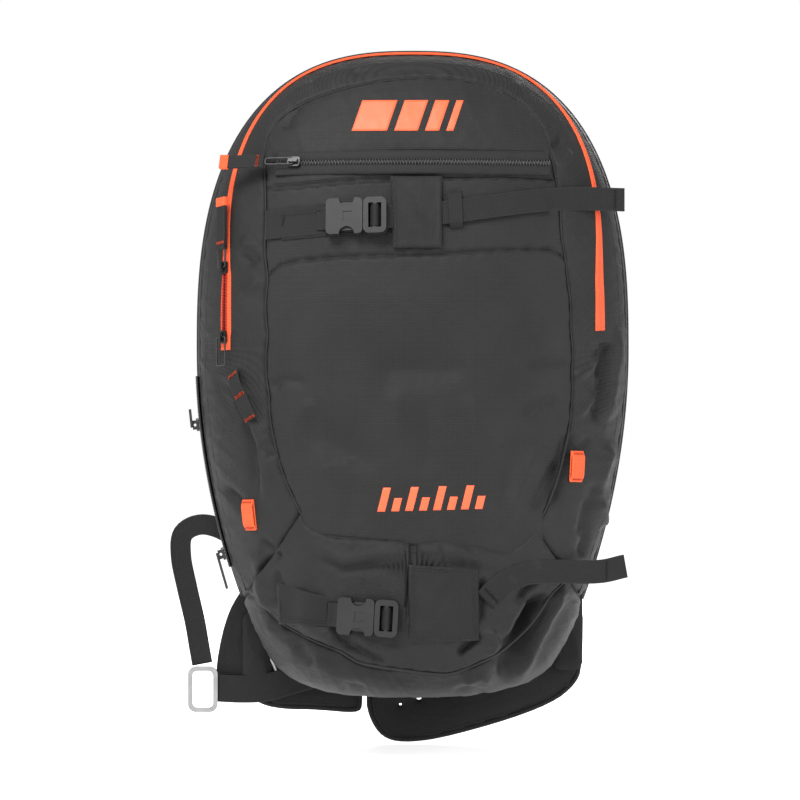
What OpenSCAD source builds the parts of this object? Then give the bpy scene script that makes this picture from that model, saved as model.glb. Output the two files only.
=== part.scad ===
// Avalanche airbag backpack, 22 litres, upright, outer face towards -Y and wearer towards +Y.
// Lengths are millimetres. Heights in this file are measured up from the base of the bag;
// the last step moves the model so that its origin is the centre of the spine pad's face.

/* [Bag] */
// Height of the bag from its base to the crown
body_h = 557; // [500:1:620]
// Width of the bag at its widest
body_w = 372; // [330:1:420]
// Width of the bag at its base
base_w = 208; // [180:1:240]
// Height of the widest point above the base
shoulder_z = 300; // [260:1:330]
// Depth of the bag at its base, measured from the back panel
base_d = 155; // [130:1:190]
// Depth of the bag at its crown
top_d = 120; // [100:1:150]
// Thickness of the padded fabric walls
wall_t = 2; // [1.6:0.1:3]

/* [Back panel] */
// Thickness of the foam back panel
panel_t = 8; // [6:0.5:12]
// Thickness of the foam contact pads
pad_t = 10; // [6:0.5:14]
// Width of the spine pad
spine_w = 76; // [60:1:90]
// Height of the spine pad
spine_h = 240; // [180:1:260]
// Height of the spine pad's centre above the base of the bag
spine_z = 290; // [270:1:310]
// Thickness of the plastic frame sheet
sheet_t = 2; // [1.5:0.1:3]
// Width of one aluminium stay
stay_w = 12; // [10:1:16]
// Thickness of one aluminium stay
stay_t = 3; // [2:0.1:4]

/* [Webbing and buckles] */
// Width of the compression webbing
web_w = 20; // [15:1:25]
// Thickness of the webbing
web_t = 1.6; // [1.2:0.1:2.2]
// Length of a buckle socket
socket_l = 31; // [28:1:36]
// Width of a buckle
buckle_w = 31; // [29:1:38]
// Thickness of a buckle
buckle_t = 9; // [8:0.5:11]
// Clearance between a buckle's plug and its socket
plug_gap = 0.4; // [0.3:0.05:0.6]

/* [Zips] */
// Radius of the arc that the front zip follows
zip_r = 331; // [300:1:360]
// Height of the front zip above the base
zip_z = 455; // [445:1:462]
// Width of a zip tape
tape_w = 18; // [14:1:22]
// Thickness of a zip tape
tape_t = 1.2; // [1:0.1:1.6]
// Width of a zip's coil
coil_w = 5; // [4:0.5:7]

/* [Harness] */
// Width of a shoulder strap at the top
strap_w = 62; // [55:1:70]
// Thickness of a shoulder strap
strap_t = 12; // [9:0.5:15]
// Thickness of a hip wing
wing_t = 10; // [8:0.5:14]

/* [Inflation system] */
// Diameter of the gas cylinder
cylinder_d = 60; // [54:1:66]
// Length of the gas cylinder, without its head
cylinder_l = 205; // [180:1:220]
// Thickness of the packed airbag roll, across the arch
airbag_w = 44; // [36:1:48]
// Depth of the packed airbag roll
airbag_d = 56; // [44:1:58]

/* [Hidden] */
$fn = 48;

seat = 0.3;                         // gap between pieces that lie on each other
lift = 0.6;                         // gap under a piece that lies on a curved wall
panel_y = pad_t + panel_t;          // depth of the back panel's inner face
roundness = 2.6;                    // exponent of the crown's outline
base_squareness = 28;               // exponent of the base's corners
fullness = 2.4;                     // exponent of the bag's cross-section
seam_half = 128;                    // half width of the front panel's seam
seam_top = 529;                     // height of the front panel's seam at the crown
seam_low = 141;                     // height of the front panel's seam at its chin
seam_square = 4;                    // exponent of the front panel's seam
angle_step = 4;                     // step between the points of an outline, in degrees
cover_rise = 0.985;                 // where the airbag cover ends, as a share of the outline
base_angle = 56;                    // where the base panel starts, below the widest point

// ---- Bag surface ----

function hump(t) = let (u = min(1, max(0, t))) u * u * (3 - 2 * u);
function wall_half(z, e) = z > shoulder_z ? body_w / 2 - e
    : base_w / 2 - e + (body_w - base_w) / 2 * pow(max(0, sin(90 * z / shoulder_z)), 0.75);
// Share of the way from the middle of the bag, 0, to its outline, 1, e inside the outer wall
function share(x, z, e = 0) =
    let (v = z > shoulder_z ? pow((z - shoulder_z) / (body_h - e - shoulder_z), roundness)
            : pow((shoulder_z - z) / (shoulder_z - e), base_squareness))
    pow(pow(abs(x) / wall_half(z, e), roundness) + v, 1 / roundness);
function depth_at(z) = base_d + (top_d - base_d) * z / body_h;
// Y of the bag's wall at x and z
function wall_y(x, z, e = 0) =
    -panel_y - (depth_at(z) - e) * pow(max(0, 1 - pow(min(1, share(x, z, e)), fullness)), 1 / fullness);
function polar(a, r) = [r * cos(a), shoulder_z + r * sin(a)];
// Distance from the middle of the bag to where its share is level, along angle a
function reach(a, e = 0, level = 1, lo = 0, hi = 460, n = 24) = n == 0 ? (lo + hi) / 2
    : let (mid = (lo + hi) / 2, p = polar(a, mid))
    share(p[0], p[1], e) < level ? reach(a, e, level, mid, hi, n - 1) : reach(a, e, level, lo, mid, n - 1);
function seam_reach(a) = let (up = sin(a) > 0 ? seam_top - shoulder_z : shoulder_z - seam_low)
    pow(pow(abs(cos(a)) / seam_half, seam_square) + pow(abs(sin(a)) / up, seam_square), -1 / seam_square);
function on_wall(p, out = 0, e = 0) = [p[0], wall_y(p[0], p[1], e) - out, p[1]];
function wall_out(x, z) = unit(cross(on_wall([x + 1, z]) - on_wall([x - 1, z]), on_wall([x, z + 1]) - on_wall([x, z - 1])));
function mix(a, b, t) = a + (b - a) * t;
function unit(v) = v / norm(v);

// ---- Sheets and ribbons ----

// A closed sheet between an outer and an inner grid of points of the same size
module sheet(front, back, ring = false, cap = false) {
    rows = len(front);
    cols = len(front[0]);
    points = concat([for (r = front) each r], [for (r = back) each r]);
    function f(i, j) = i * cols + j % cols;
    function b(i, j) = (rows + i) * cols + j % cols;
    span = ring ? cols : cols - 1;
    faces = concat(
        [for (i = [0 : rows - 2], j = [0 : span - 1]) each
            [[f(i, j), f(i + 1, j), f(i + 1, j + 1)], [f(i, j), f(i + 1, j + 1), f(i, j + 1)],
             [b(i, j), b(i + 1, j + 1), b(i + 1, j)], [b(i, j), b(i, j + 1), b(i + 1, j + 1)]]],
        [for (j = [0 : span - 1]) each
            [[f(0, j), f(0, j + 1), b(0, j + 1)], [f(0, j), b(0, j + 1), b(0, j)]]],
        cap ? [[for (j = [0 : cols - 1]) f(rows - 1, j)], [for (j = [cols - 1 : -1 : 0]) b(rows - 1, j)]]
            : [for (j = [0 : span - 1]) each
                [[f(rows - 1, j), b(rows - 1, j), b(rows - 1, j + 1)],
                 [f(rows - 1, j), b(rows - 1, j + 1), f(rows - 1, j + 1)]]],
        ring ? [] : [for (i = [0 : rows - 2]) each
            [[f(i, 0), b(i, 0), b(i + 1, 0)], [f(i, 0), b(i + 1, 0), f(i + 1, 0)],
             [f(i, cols - 1), b(i + 1, cols - 1), b(i, cols - 1)],
             [f(i, cols - 1), f(i + 1, cols - 1), b(i + 1, cols - 1)]]]);
    polyhedron(points, faces, convexity = 6);
}

// Grid of x, z points over the four corners of a patch
function patch(low_left, low_right, top_left, top_right, nx = 6, nz = 3) =
    [for (i = [0 : nz]) [for (j = [0 : nx])
        mix(mix(low_left, low_right, j / nx), mix(top_left, top_right, j / nx), i / nz)]];
function crown(i, n) = sin(180 * i / n);
// A sheet that lies on the bag's wall over a grid of x, z points, and bulges in its middle
module overlay(grid, out, thick, bulge = 0) {
    rows = len(grid) - 1;
    cols = len(grid[0]) - 1;
    back = [for (r = grid) [for (p = r) on_wall(p, out)]];
    front = [for (i = [0 : rows]) [for (j = [0 : cols])
        on_wall(grid[i][j], out + thick + bulge * sqrt(crown(i, rows) * crown(j, cols)))]];
    sheet(front, back);
}

// Part of the bag's wall between two distances from the middle, over a list of angles
module wall(angles, from, to, steps, ring = false, cap = false) {
    function out(a, i, e) = let (r = mix(from(a, e), to(a, e), pow(i / steps, 1.8)), p = polar(a, r)) on_wall(p, 0, e);
    front = [for (i = [0 : steps]) [for (a = angles) out(a, i, 0)]];
    back = [for (i = [0 : steps]) [for (a = angles) out(a, i, wall_t)]];
    sheet(front, back, ring, cap);
}

function along(path, i) = unit(path[min(i + 1, len(path) - 1)] - path[max(i - 1, 0)]);
// A flat strip along a path, turned so that its width runs across, or so that its face looks out
module ribbon(path, across, w, t, out = undef) {
    last = len(path) - 1;
    function wide(i) = is_list(w) ? mix(w[0], w[1], i / last) : w;
    function flat(i) = is_undef(out) ? unit(cross(along(path, i), across))
        : unit(out - along(path, i) * (along(path, i) * out));
    function side(i) = unit(cross(flat(i), along(path, i)));
    function edge(i, s, n) = path[i] + side(i) * s * wide(i) / 2 + flat(i) * n * t / 2;
    sheet([for (s = [-1, 1]) [for (i = [0 : last]) edge(i, s, 1)]],
        [for (s = [-1, 1]) [for (i = [0 : last]) edge(i, s, -1)]]);
}

// A round cord along a path, with rings square to it
module tube(path, d, sides = 8, up = [0, 1, 0]) {
    last = len(path) - 1;
    function u(i) = unit(cross(along(path, i), up));
    function v(i) = unit(cross(along(path, i), u(i)));
    points = [for (i = [0 : last]) for (k = [0 : sides - 1])
        path[i] + (u(i) * cos(360 * k / sides) + v(i) * sin(360 * k / sides)) * d / 2];
    faces = tube_faces(last, sides);
    polyhedron(points, faces, convexity = 6);
}
function tube_faces(last, sides) = concat([[for (k = [0 : sides - 1]) k]],
    [for (i = [0 : last - 1], k = [0 : sides - 1]) each let (n = (k + 1) % sides)
        [[i * sides + k, (i + 1) * sides + n, i * sides + n],
         [i * sides + k, (i + 1) * sides + k, (i + 1) * sides + n]]],
    [[for (k = [sides - 1 : -1 : 0]) last * sides + k]]);

// Points of a smooth curve through a short list of points
function curve(p, steps = 4) = [for (i = [0 : len(p) - 2]) each [for (s = [0 : steps - 1])
    let (t = s / steps, a = p[max(i - 1, 0)], b = p[i], c = p[i + 1], d = p[min(i + 2, len(p) - 1)])
    0.5 * (2 * b + (c - a) * t + (2 * a - 5 * b + 4 * c - d) * t * t + (3 * b - a - 3 * c + d) * t * t * t)],
    p[len(p) - 1]];

// Outline of a rectangle with round corners, centred on the origin
function rounded(w, h, r) = [for (c = [[1, 1, 0], [-1, 1, 90], [-1, -1, 180], [1, -1, 270]])
    for (a = [0 : 15 : 90]) [c[0] * (w / 2 - r) + r * cos(c[2] + a), c[1] * (h / 2 - r) + r * sin(c[2] + a)]];
module plate(points, y_back, y_front) {
    translate([0, y_front, 0]) rotate([90, 0, 0]) linear_extrude(y_front - y_back) polygon(points);
}
module block(w, h, r, at, y_back, y_front) {
    translate([at[0], 0, at[1]]) plate(rounded(w, h, r), y_back, y_front);
}

// ---- Back panel, frame and pads ----

all_angles = [0 : angle_step : 359];
function outline(inset) = [for (a = all_angles) polar(a, reach(a) - inset)];

module back_panel() {
    cable_port = 16;
    color("dimgray") difference() {
        plate(outline(wall_t), -panel_y, -pad_t);
        translate([-port_x, -panel_y / 2, port_z]) rotate([90, 0, 0])
            cylinder(h = 2 * panel_y, d = cable_port, center = true);
    }
}

port_x = 40;        // where the trigger's cable passes through the back panel
port_z = 508;
module frame_sheet() {
    sheet_w = 190;
    sheet_h = 420;
    color("black") block(sheet_w, sheet_h, 30, [0, 262], -panel_y - sheet_t, -panel_y);
}

stay_x = 62;
module frame_stays() {
    stay_h = 390;
    color("silver") for (x = [-stay_x, stay_x])
        block(stay_w, stay_h, 4, [x, 262], -panel_y - sheet_t - stay_t, -panel_y - sheet_t);
}

side_pad = [66, 250, 86, 285];      // width, height and centre of a side pad
lumbar_pad = [236, 108, 82];        // width, height and centre height of the lumbar pad
module back_pads() {
    color("dimgray") {
        block(spine_w, spine_h, 16, [0, spine_z], -pad_t, 0);
        for (s = [-1, 1])
            block(side_pad[0], side_pad[1], 24, [s * side_pad[2], side_pad[3]], -pad_t, -1);
        block(lumbar_pad[0], lumbar_pad[1], 30, [0, lumbar_pad[2]], -pad_t, 0);
    }
}

// ---- Bag walls ----

arch_angles = [-base_angle : angle_step : 180 + base_angle];
base_angles = [180 + base_angle : angle_step : 360 - base_angle];
base_rise = 0.87;                   // where the base panel ends, as a share of its reach
edge_gap = 0.25;                    // half the gap at a sewn seam

module airbag_cover() {
    color("black") wall(arch_angles, function(a, e) reach(a, e),
        function(a, e) reach(a, e, cover_rise) + edge_gap, 3);
}

module gusset() {
    color("dimgray") wall(arch_angles, function(a, e) reach(a, e, cover_rise) - edge_gap,
        function(a, e) seam_reach(a) + edge_gap, 8);
}

inner_base_angles = [for (a = base_angles) a == base_angles[0] ? a + 0.15 :
    a == 360 - base_angle ? a - 0.15 : a];
module base_panel() {
    color("black") wall(inner_base_angles, function(a, e) reach(a, e),
        function(a, e) reach(a) * base_rise + edge_gap, 6);
}

module lower_pocket() {
    color("dimgray") wall(inner_base_angles, function(a, e) reach(a) * base_rise - edge_gap,
        function(a, e) seam_reach(a) + edge_gap, 5);
}

module front_panel() {
    color("dimgray") wall(all_angles, function(a, e) seam_reach(a) - edge_gap,
        function(a, e) 6, 8, ring = true, cap = true);
}

// ---- Front pocket and its zip ----

function seam_x(z) = seam_half * pow(1 - pow((z - shoulder_z) / (seam_top - shoulder_z), seam_square), 1 / seam_square);
pocket_low = zip_z + 10;
pocket_top = 521;
module top_pocket() {
    grid = [for (i = [0 : 5]) let (z = mix(pocket_low, pocket_top, i / 5), h = seam_x(z) - 3)
        [for (j = [0 : 16]) [mix(-h, h, j / 16), z]]];
    color("dimgray") overlay(grid, lift, 1.5, 5);
}

zip_axis_y = zip_r - 129.3;          // Y of the centre of the front zip's arc
zip_lean = 19;                      // slope of the front wall at the zip, in degrees
zip_lift = 0.8;                     // gap between the front zip and the wall
zip_from = 251;                     // angle of the zip's left end, seen from above
zip_to = 289.5;                     // angle of the zip's right end
// What is drawn at radius x and height y is turned round the zip's arc
module on_zip_arc(from, to) {
    translate([0, zip_axis_y, zip_z]) rotate([0, 0, from]) rotate_extrude(angle = to - from, $fn = 180)
        translate([zip_r, 0]) rotate(zip_lean) children();
}
module front_zip() {
    color("black") on_zip_arc(zip_from, zip_to) {
        translate([zip_lift, -tape_w / 2]) square([tape_t, tape_w]);
        translate([zip_lift, -coil_w / 2]) square([tape_t + 1, coil_w]);
    }
}

// A zip slider: two plates joined by a nose, with a bail on top, along +X
slider_l = 11;
slider_w = 8.5;
slider_t = 2;
bail_h = 5.4;
module slider_body() {
    translate([-slider_l / 2, -slider_w / 2, 0]) linear_extrude(slider_t)
        translate([slider_l / 2, slider_w / 2]) polygon(rounded(slider_l, slider_w, 2.2));
    difference() {
        translate([-4, -1.4, slider_t]) cube([8, 2.8, bail_h - slider_t]);
        translate([0, 0, slider_t + 1.2]) rotate([90, 0, 0]) cylinder(h = 8, r = 1.2, center = true);
    }
}
// A pull that hangs from a bail towards -X: a wire link, then a webbing tab
module pull(tab_l, tab_w, link_l = 14, link_w = 7) {
    wire = 1.6;
    rod_z = slider_t + 1.2;
    translate([0, 0, rod_z]) {
        translate([-link_l / 2, 0, 0]) linear_extrude(wire, center = true) difference() {
            polygon(rounded(link_l + wire, link_w, 2));
            polygon(rounded(link_l - wire, link_w - 2 * wire, 1));
        }
        if (tab_l > 0) translate([-link_l - tab_l + 2, -tab_w / 2, wire / 2]) cube([tab_l + 2, tab_w, 2.2]);
    }
}

// Puts children on the front zip at an angle, with +Z outwards and +X along the zip
module at_front_zip(angle) {
    translate([0, zip_axis_y, zip_z]) rotate([0, 0, angle]) translate([zip_r, 0, 0])
        rotate([0, -zip_lean, 0]) translate([zip_lift + tape_t + 1 + seat, 0, 0])
        rotate([0, 90, 0]) rotate([0, 0, 90]) children();
}
front_slider_at = 252.5;
module front_zip_slider() {
    color("dimgray") at_front_zip(front_slider_at) slider_body();
}
module front_zip_pull() {
    color("black") at_front_zip(front_slider_at) pull(52, 12);
}

// ---- Main zip, which runs over the arch ----

main_from = 5;
main_to = 181;
function above(a) = a < 90 ? a : 180 - a;
function main_inset(a) = 4 + 24 * (1 - hump((above(a) - 18) / 52));
function main_half(a) = 1.4 + 4 * (1 - hump((above(a) - 5) / 70));
function main_point(a, across = 0, out = 0) =
    let (p = polar(a, reach(a) - main_inset(a) - across * main_half(a))) on_wall(p, out);
// Outward direction of the wall at the zip, and the direction of the zip
function main_out(a) = unit(cross(main_point(a + 0.5) - main_point(a - 0.5), main_point(a, 0.2) - main_point(a, -0.2)));
function main_band(a, across, out) = main_point(a, across) + main_out(a) * out;
module main_zip() {
    main_angles = [main_from : 4 : main_to];
    color("orangered") {
        sheet([for (s = [-1, 1]) [for (a = main_angles) main_band(a, s, lift + tape_t)]],
            [for (s = [-1, 1]) [for (a = main_angles) main_band(a, s, lift)]]);
        sheet([for (s = [-0.3, 0.3]) [for (a = main_angles) main_band(a, s, lift + tape_t + 1)]],
            [for (s = [-0.3, 0.3]) [for (a = main_angles) main_band(a, s, lift + tape_t)]]);
    }
}

// Puts children on a path at a point, with +X along dir and +Z along out
module on_frame(at, dir, out) {
    x = unit(dir);
    y = unit(cross(out, x));
    z = cross(x, y);
    multmatrix([[x[0], y[0], z[0], at[0]], [x[1], y[1], z[1], at[1]], [x[2], y[2], z[2], at[2]], [0, 0, 0, 1]])
        children();
}
module at_main_zip(a, flip) {
    on_frame(main_band(a, 0, lift + tape_t + 1 + 2 * seat),
        (main_point(a - 0.5) - main_point(a + 0.5)) * flip, main_out(a)) children();
}
upper_slider_at = 157;
lower_slider_at = 177;
module main_zip_upper_slider() { color("black") at_main_zip(upper_slider_at, -1) slider_body(); }
module main_zip_upper_pull() { color("black") at_main_zip(upper_slider_at, -1) pull(44, 11, 17, 9); }
module main_zip_lower_slider() { color("black") at_main_zip(lower_slider_at, 1) slider_body(); }
module main_zip_lower_pull() { color("black") at_main_zip(lower_slider_at, 1) pull(0, 0, 24, 11); }

// ---- Side zip, low on the left edge ----

side_level = 0.992;
function side_point(a) = let (p = polar(a, reach(a, 0, side_level))) on_wall(p);
function side_out(a) = let (t = side_point(a + 0.5) - side_point(a - 0.5)) unit([t[2], 0, -t[0]]);
module side_zip() {
    side_angles = [188 : 3 : 230];
    function edge(a, s, out) = side_point(a) + side_out(a) * out + [0, s, 0];
    color("black") {
        sheet([for (s = [7, -7]) [for (a = side_angles) edge(a, s, 1.6 + tape_t)]],
            [for (s = [7, -7]) [for (a = side_angles) edge(a, s, 1.6)]]);
        sheet([for (s = [2.5, -2.5]) [for (a = side_angles) edge(a, s, 2.6 + tape_t)]],
            [for (s = [2.5, -2.5]) [for (a = side_angles) edge(a, s, 1.6 + tape_t)]]);
    }
}
module at_side_zip(a, flip) {
    on_frame(side_point(a) + side_out(a) * (2.6 + tape_t + seat),
        (side_point(a + 0.5) - side_point(a - 0.5)) * flip, side_out(a)) children();
}
module side_zip_upper_slider() { color("black") at_side_zip(200, 1) { slider_body(); side_pull(10); } }
module side_zip_lower_slider() { color("black") at_side_zip(228, -1) { slider_body(); side_pull(26); } }
// The side zip's pulls are cord tabs sewn through the bail, and stay with the slider
module side_pull(tab_l) {
    translate([-tab_l - 4, -4, bail_h]) cube([tab_l + 6, 8, 1.8]);
}

// ---- Side-release buckles ----

// Along +X: the socket starts at 0 and the plug's ladder ends at socket_l + ladder_l. +Z is outwards.
ladder_l = 20;
throat_w = buckle_w - 6;            // inside width of the socket
throat_t = buckle_t - 3.6;          // inside thickness of the socket
throat_l = socket_l - 7;
prong_w = 3.6;
prong_t = throat_t - 2 * plug_gap;
prong_z = throat_w / 2 - plug_gap - prong_w;    // inner face of a prong, from the middle
module buckle_socket() {
    mid = socket_l / 2;
    waist = 2.2;
    difference() {
        linear_extrude(buckle_t) translate([mid, 0]) polygon(rounded(socket_l, buckle_w, 4));
        translate([socket_l - throat_l, -throat_w / 2, (buckle_t - throat_t) / 2])
            cube([throat_l + 1, throat_w, throat_t]);
        for (s = [-1, 1]) translate([mid + 2, s * buckle_w / 2, 0])
            linear_extrude(3 * buckle_t, center = true) circle(r = 6.5);
        translate([1.8, -web_w / 2 - 0.6, -1]) cube([3.2, web_w + 1.2, buckle_t - 2]);
        translate([mid + 3, 0, buckle_t - 0.01 - waist / 8]) cube([8, 8, waist / 4 + 0.1], center = true);
    }
}
module buckle_plug() {
    nose_l = throat_l - 3;
    difference() {
        translate([socket_l + plug_gap, 0, 0]) linear_extrude(buckle_t)
            translate([ladder_l / 2, 0]) polygon(rounded(ladder_l - 0.4, buckle_w, 5));
        translate([socket_l + 5, -web_w / 2 - 0.6, -1]) cube([4, web_w + 1.2, buckle_t + 2]);
        translate([socket_l + 12, -web_w / 2 - 0.6, -1]) cube([4, web_w + 1.2, buckle_t + 2]);
    }
    translate([socket_l - nose_l, -4, (buckle_t - prong_t) / 2]) cube([nose_l + 1, 8, prong_t]);
}
// One spring arm of the plug; it turns about its root
module buckle_prong(s) {
    root_x = socket_l - 0.6;
    tip_x = socket_l - throat_l + 3;
    z0 = (buckle_t - prong_t) / 2;
    translate([0, 0, z0]) linear_extrude(prong_t) polygon([
        [root_x, s * prong_z], [root_x, s * (prong_z + prong_w)], [tip_x + 4, s * (prong_z + prong_w)],
        [tip_x, s * (prong_z + 1.2)], [tip_x, s * prong_z]]);
}

// The upper buckle lies on the chord of the wall under it
upper_at = [-72, 407];
upper_lift = 2.4;
upper_turn = 8;
upper_lean = -12;
module at_upper_buckle() {
    translate([upper_at[0], wall_y(upper_at[0], upper_at[1]) - upper_lift, upper_at[1]])
        rotate([upper_lean, 0, 0]) rotate([0, 0, -upper_turn]) rotate([90, 0, 0]) children();
}
module upper_buckle_socket() { color("dimgray") at_upper_buckle() buckle_socket(); }
module upper_buckle_plug() { color("dimgray") at_upper_buckle() buckle_plug(); }
module upper_buckle_prong_a() { color("dimgray") at_upper_buckle() buckle_prong(1); }
module upper_buckle_prong_b() { color("dimgray") at_upper_buckle() buckle_prong(-1); }

lower_at = [-62, 76];
lower_lift = 4.4;
lower_turn = 9;
module at_lower_buckle() {
    translate([lower_at[0], wall_y(lower_at[0], lower_at[1]) - lower_lift, lower_at[1]])
        rotate([0, 0, -lower_turn]) rotate([90, 0, 0]) rotate([0, 0, -3]) children();
}
module lower_buckle_socket() { color("dimgray") at_lower_buckle() buckle_socket(); }
module lower_buckle_plug() { color("dimgray") at_lower_buckle() buckle_plug(); }
module lower_buckle_prong_a() { color("dimgray") at_lower_buckle() buckle_prong(1); }
module lower_buckle_prong_b() { color("dimgray") at_lower_buckle() buckle_prong(-1); }

// ---- Compression straps ----

// Webbing band on the wall: from x0 to x1, its middle at height z0 to z1
function band(x0, x1, z0, z1, w, n) = patch([x0, z0 - w / 2], [x1, z1 - w / 2], [x0, z0 + w / 2], [x1, z1 + w / 2], n, 2);

module strap_anchors() {
    color("black") {
        overlay(band(-124, -72.8, 402, 406, web_w + 6, 6), lift, web_t);
        overlay(patch([-112, 66], [-60, 62], [-112, 104], [-60, 90], 5, 2), 2.2, web_t);
    }
}

module strap_flap() {
    grid = patch([-17, 382], [24, 382], [-19, 442], [24, 442], 5, 5);
    color("dimgray") overlay(grid, 3, 1.2, 0.3);
}

// Free webbing that leaves the wall on the right and stands straight
tail_leave = 112;
function tail_y(x, z, out) = x < tail_leave ? wall_y(x, z) - out
    : wall_y(tail_leave, z) - out + (x - tail_leave) * 0.52;
module upper_strap_tail() {
    path = [for (x = [-19.6, -10, 0, 10, 20, 28, 38, 54, 70, 88, 104, 120, 136, 152, 168, 181])
        let (z = mix(409, 426, hump((x + 20) / 170))) [x, tail_y(x, z, mix(1.3, 3.2, hump((x - 28) / 30))), z]];
    color("black") ribbon(path, [0, 0.18, 1], web_w, web_t);
}
module strap_keeper() {
    grid = patch([30, 401], [42, 401], [29, 429], [41, 429], 3, 4);
    color("black") translate([0, -0.4, 0]) overlay(grid, 4.1, 1.2, 0.6);
}

module lower_flap() {
    color("dimgray") overlay(patch([-4, 51], [54, 55], [-4, 118], [54, 114], 5, 5), lift, 1.5, 2.5);
}
module lower_strap_tail() {
    path = [for (p = curve([[60, 88], [74, 101], [92, 109], [112, 111], [136, 110], [160, 110], [182, 114]], 2))
        [p[0], tail_y(p[0], p[1], 4), p[1]]];
    color("black") ribbon(path, [-0.2, 0, 1], web_w, web_t);
}

// ---- Loops on the front ----

module gear_loops() {
    loop_w = 14;
    slit = 1.2;
    color("orangered") for (c = [[-137, 158], [137, 199]])
        on_frame(on_wall(c) + wall_out(c[0], c[1]) * 1.1, [0, 0, 1], wall_out(c[0], c[1])) difference() {
            translate([-13, -loop_w / 2, 0]) cube([26, loop_w, 2 * web_t + slit]);
            translate([-13 + web_t, -loop_w / 2 - 1, web_t]) cube([26 - 2 * web_t, loop_w + 2, slit]);
        }
    color("black") overlay(patch([-138, 238], [-126, 240], [-156, 277], [-144, 279], 2, 4), 1.2, web_t);
}

// ---- Harness ----

strap_path = [[50, 478, -4.5], [50, 493, 8], [51, 496, 26], [54, 482, 46], [58, 452, 58], [64, 412, 64],
    [72, 370, 66], [82, 330, 62], [93, 290, 53], [103, 250, 42], [110, 215, 32]];
function strap_points(s) = curve([for (p = strap_path) [s * p[0], p[2], p[1]]], 3);
module shoulder_strap(s) {
    color("dimgray") ribbon(strap_points(s), [1, 0, 0], [strap_w, strap_w - 16], strap_t);
}
module left_shoulder_strap() { shoulder_strap(-1); }
module right_shoulder_strap() { shoulder_strap(1); }

lock_at = [111.4, 203.2, 28];           // x, height and y of a ladder lock
module harness_webbing() {
    color("black") for (s = [-1, 1]) {
        ribbon(curve([[s * 56, 67.6, 440], [s * 57, 65, 456], [s * 59, 56, 486], [s * 62, 22, 526], [s * 65, 0, 534],
            [s * 66, -pad_t + 2.8, 527], [s * 66, -pad_t + 1.2, 519], [s * 66, -pad_t + 1.2, 510]], 3),
            [1, 0, 0], web_w, web_t);
        ribbon(curve([[s * 113.8, 21, 191.4], [s * 119, 13, 170], [s * 125, 0, 149], [s * 127, -pad_t + 2.8, 140],
            [s * 128, -pad_t + 1.2, 132], [s * 128, -pad_t + 1.2, 122]], 3), [1, 0, 0.2 * s], web_w, web_t);
    }
}

module ladder_locks() {
    color("black") for (s = [-1, 1])
        on_frame([s * lock_at[0], lock_at[2], lock_at[1]], [s * 3, -10, -16], [0, 16, -10])
            difference() {
                linear_extrude(4, center = true) polygon(rounded(24, 28, 3));
                for (x = [-8, 0, 8]) translate([x - 1.8, -web_w / 2 - 1, -4]) cube([3.6, web_w + 2, 8]);
            }
}

module haul_loop() {
    loop_w = 18;
    y = -pad_t + loop_w / 2 + seat;
    color("black") ribbon(curve([[-34, y, 507], [-33, y, 522], [-25, y, 540], [0, y, 548], [25, y, 540],
        [33, y, 522], [34, y, 507]], 4), [0, 1, 0], loop_w, web_t);
}

// ---- Sternum strap ----

sternum_z = 385;
sternum_y = 76;
// Half of the sternum strap: a length of webbing, and the clip that rides on the shoulder strap
module sternum_half(s) {
    web_l = 30;
    color("black") {
        translate([s * (26 + web_l / 2), sternum_y, sternum_z]) cube([web_l, web_t, web_w], center = true);
        translate([s * (26 + web_l + seat + 9), sternum_y - 1.6, sternum_z]) rotate([90, 0, 0])
            linear_extrude(4, center = true) polygon(rounded(18, 26, 3));
    }
}
module sternum_strap_left() { sternum_half(-1); }
module sternum_strap_right() { sternum_half(1); }
module at_sternum() {
    translate([-25.6, sternum_y - buckle_t / 2, sternum_z]) rotate([-90, 0, 0]) children();
}
module sternum_socket() { color("black") at_sternum() buckle_socket(); }
module sternum_plug() {
    color("black") at_sternum() {
        buckle_plug();
        for (s = [-1, 1]) translate([0.8, 0, 0]) buckle_prong(s);
    }
}

// ---- Trigger ----

// On the outer face of the left shoulder strap, and along it
trigger_top = [-74, 73.8, 352];
trigger_dir = [-10, -6, -40];
trigger_out = [0.1, 1, -0.14];
module on_trigger() { on_frame(trigger_top, trigger_dir, trigger_out) children(); }
// A point of the pouch's axis: along it, and out from the strap
function trigger_point(l, h) = let (x = unit(trigger_dir), y = unit(cross(trigger_out, x)))
    trigger_top + x * l + cross(x, y) * h;
module trigger_pouch() {
    color("black") on_trigger() difference() {
        linear_extrude(15) translate([22, 0]) polygon(rounded(60, 42, 9));
        translate([8, -15, 3]) cube([60, 30, 9]);
    }
}
module trigger_handle() {
    color("red") on_trigger() {
        translate([16, 0, 7.5]) rotate([0, 90, 0]) cylinder(h = 52, d = 8);
        translate([68, 0, 7.5]) rotate([90, 0, 0]) cylinder(h = 36, d = 11, center = true);
    }
}
module trigger_cable() {
    color("gray") tube(curve([[86, -46, 322], [74, -34, 348], [52, -26.6, 380], [30, -25.2, 410], [4, -25.5, 446],
        [-22, -27, 474], [-36, -26, 494], [-port_x, -16, port_z], [-port_x, 4, 514], [-38, 30, 517], [-40, 54, 504],
        [-44, 71, 470], [-54, 79, 425], [-62, 82, 392], trigger_point(-24, 7.5), trigger_point(-8.6, 7.5)], 3),
        4.5, 8, [1, 0, 0.05]);
}

// ---- Hip belt ----

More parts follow.
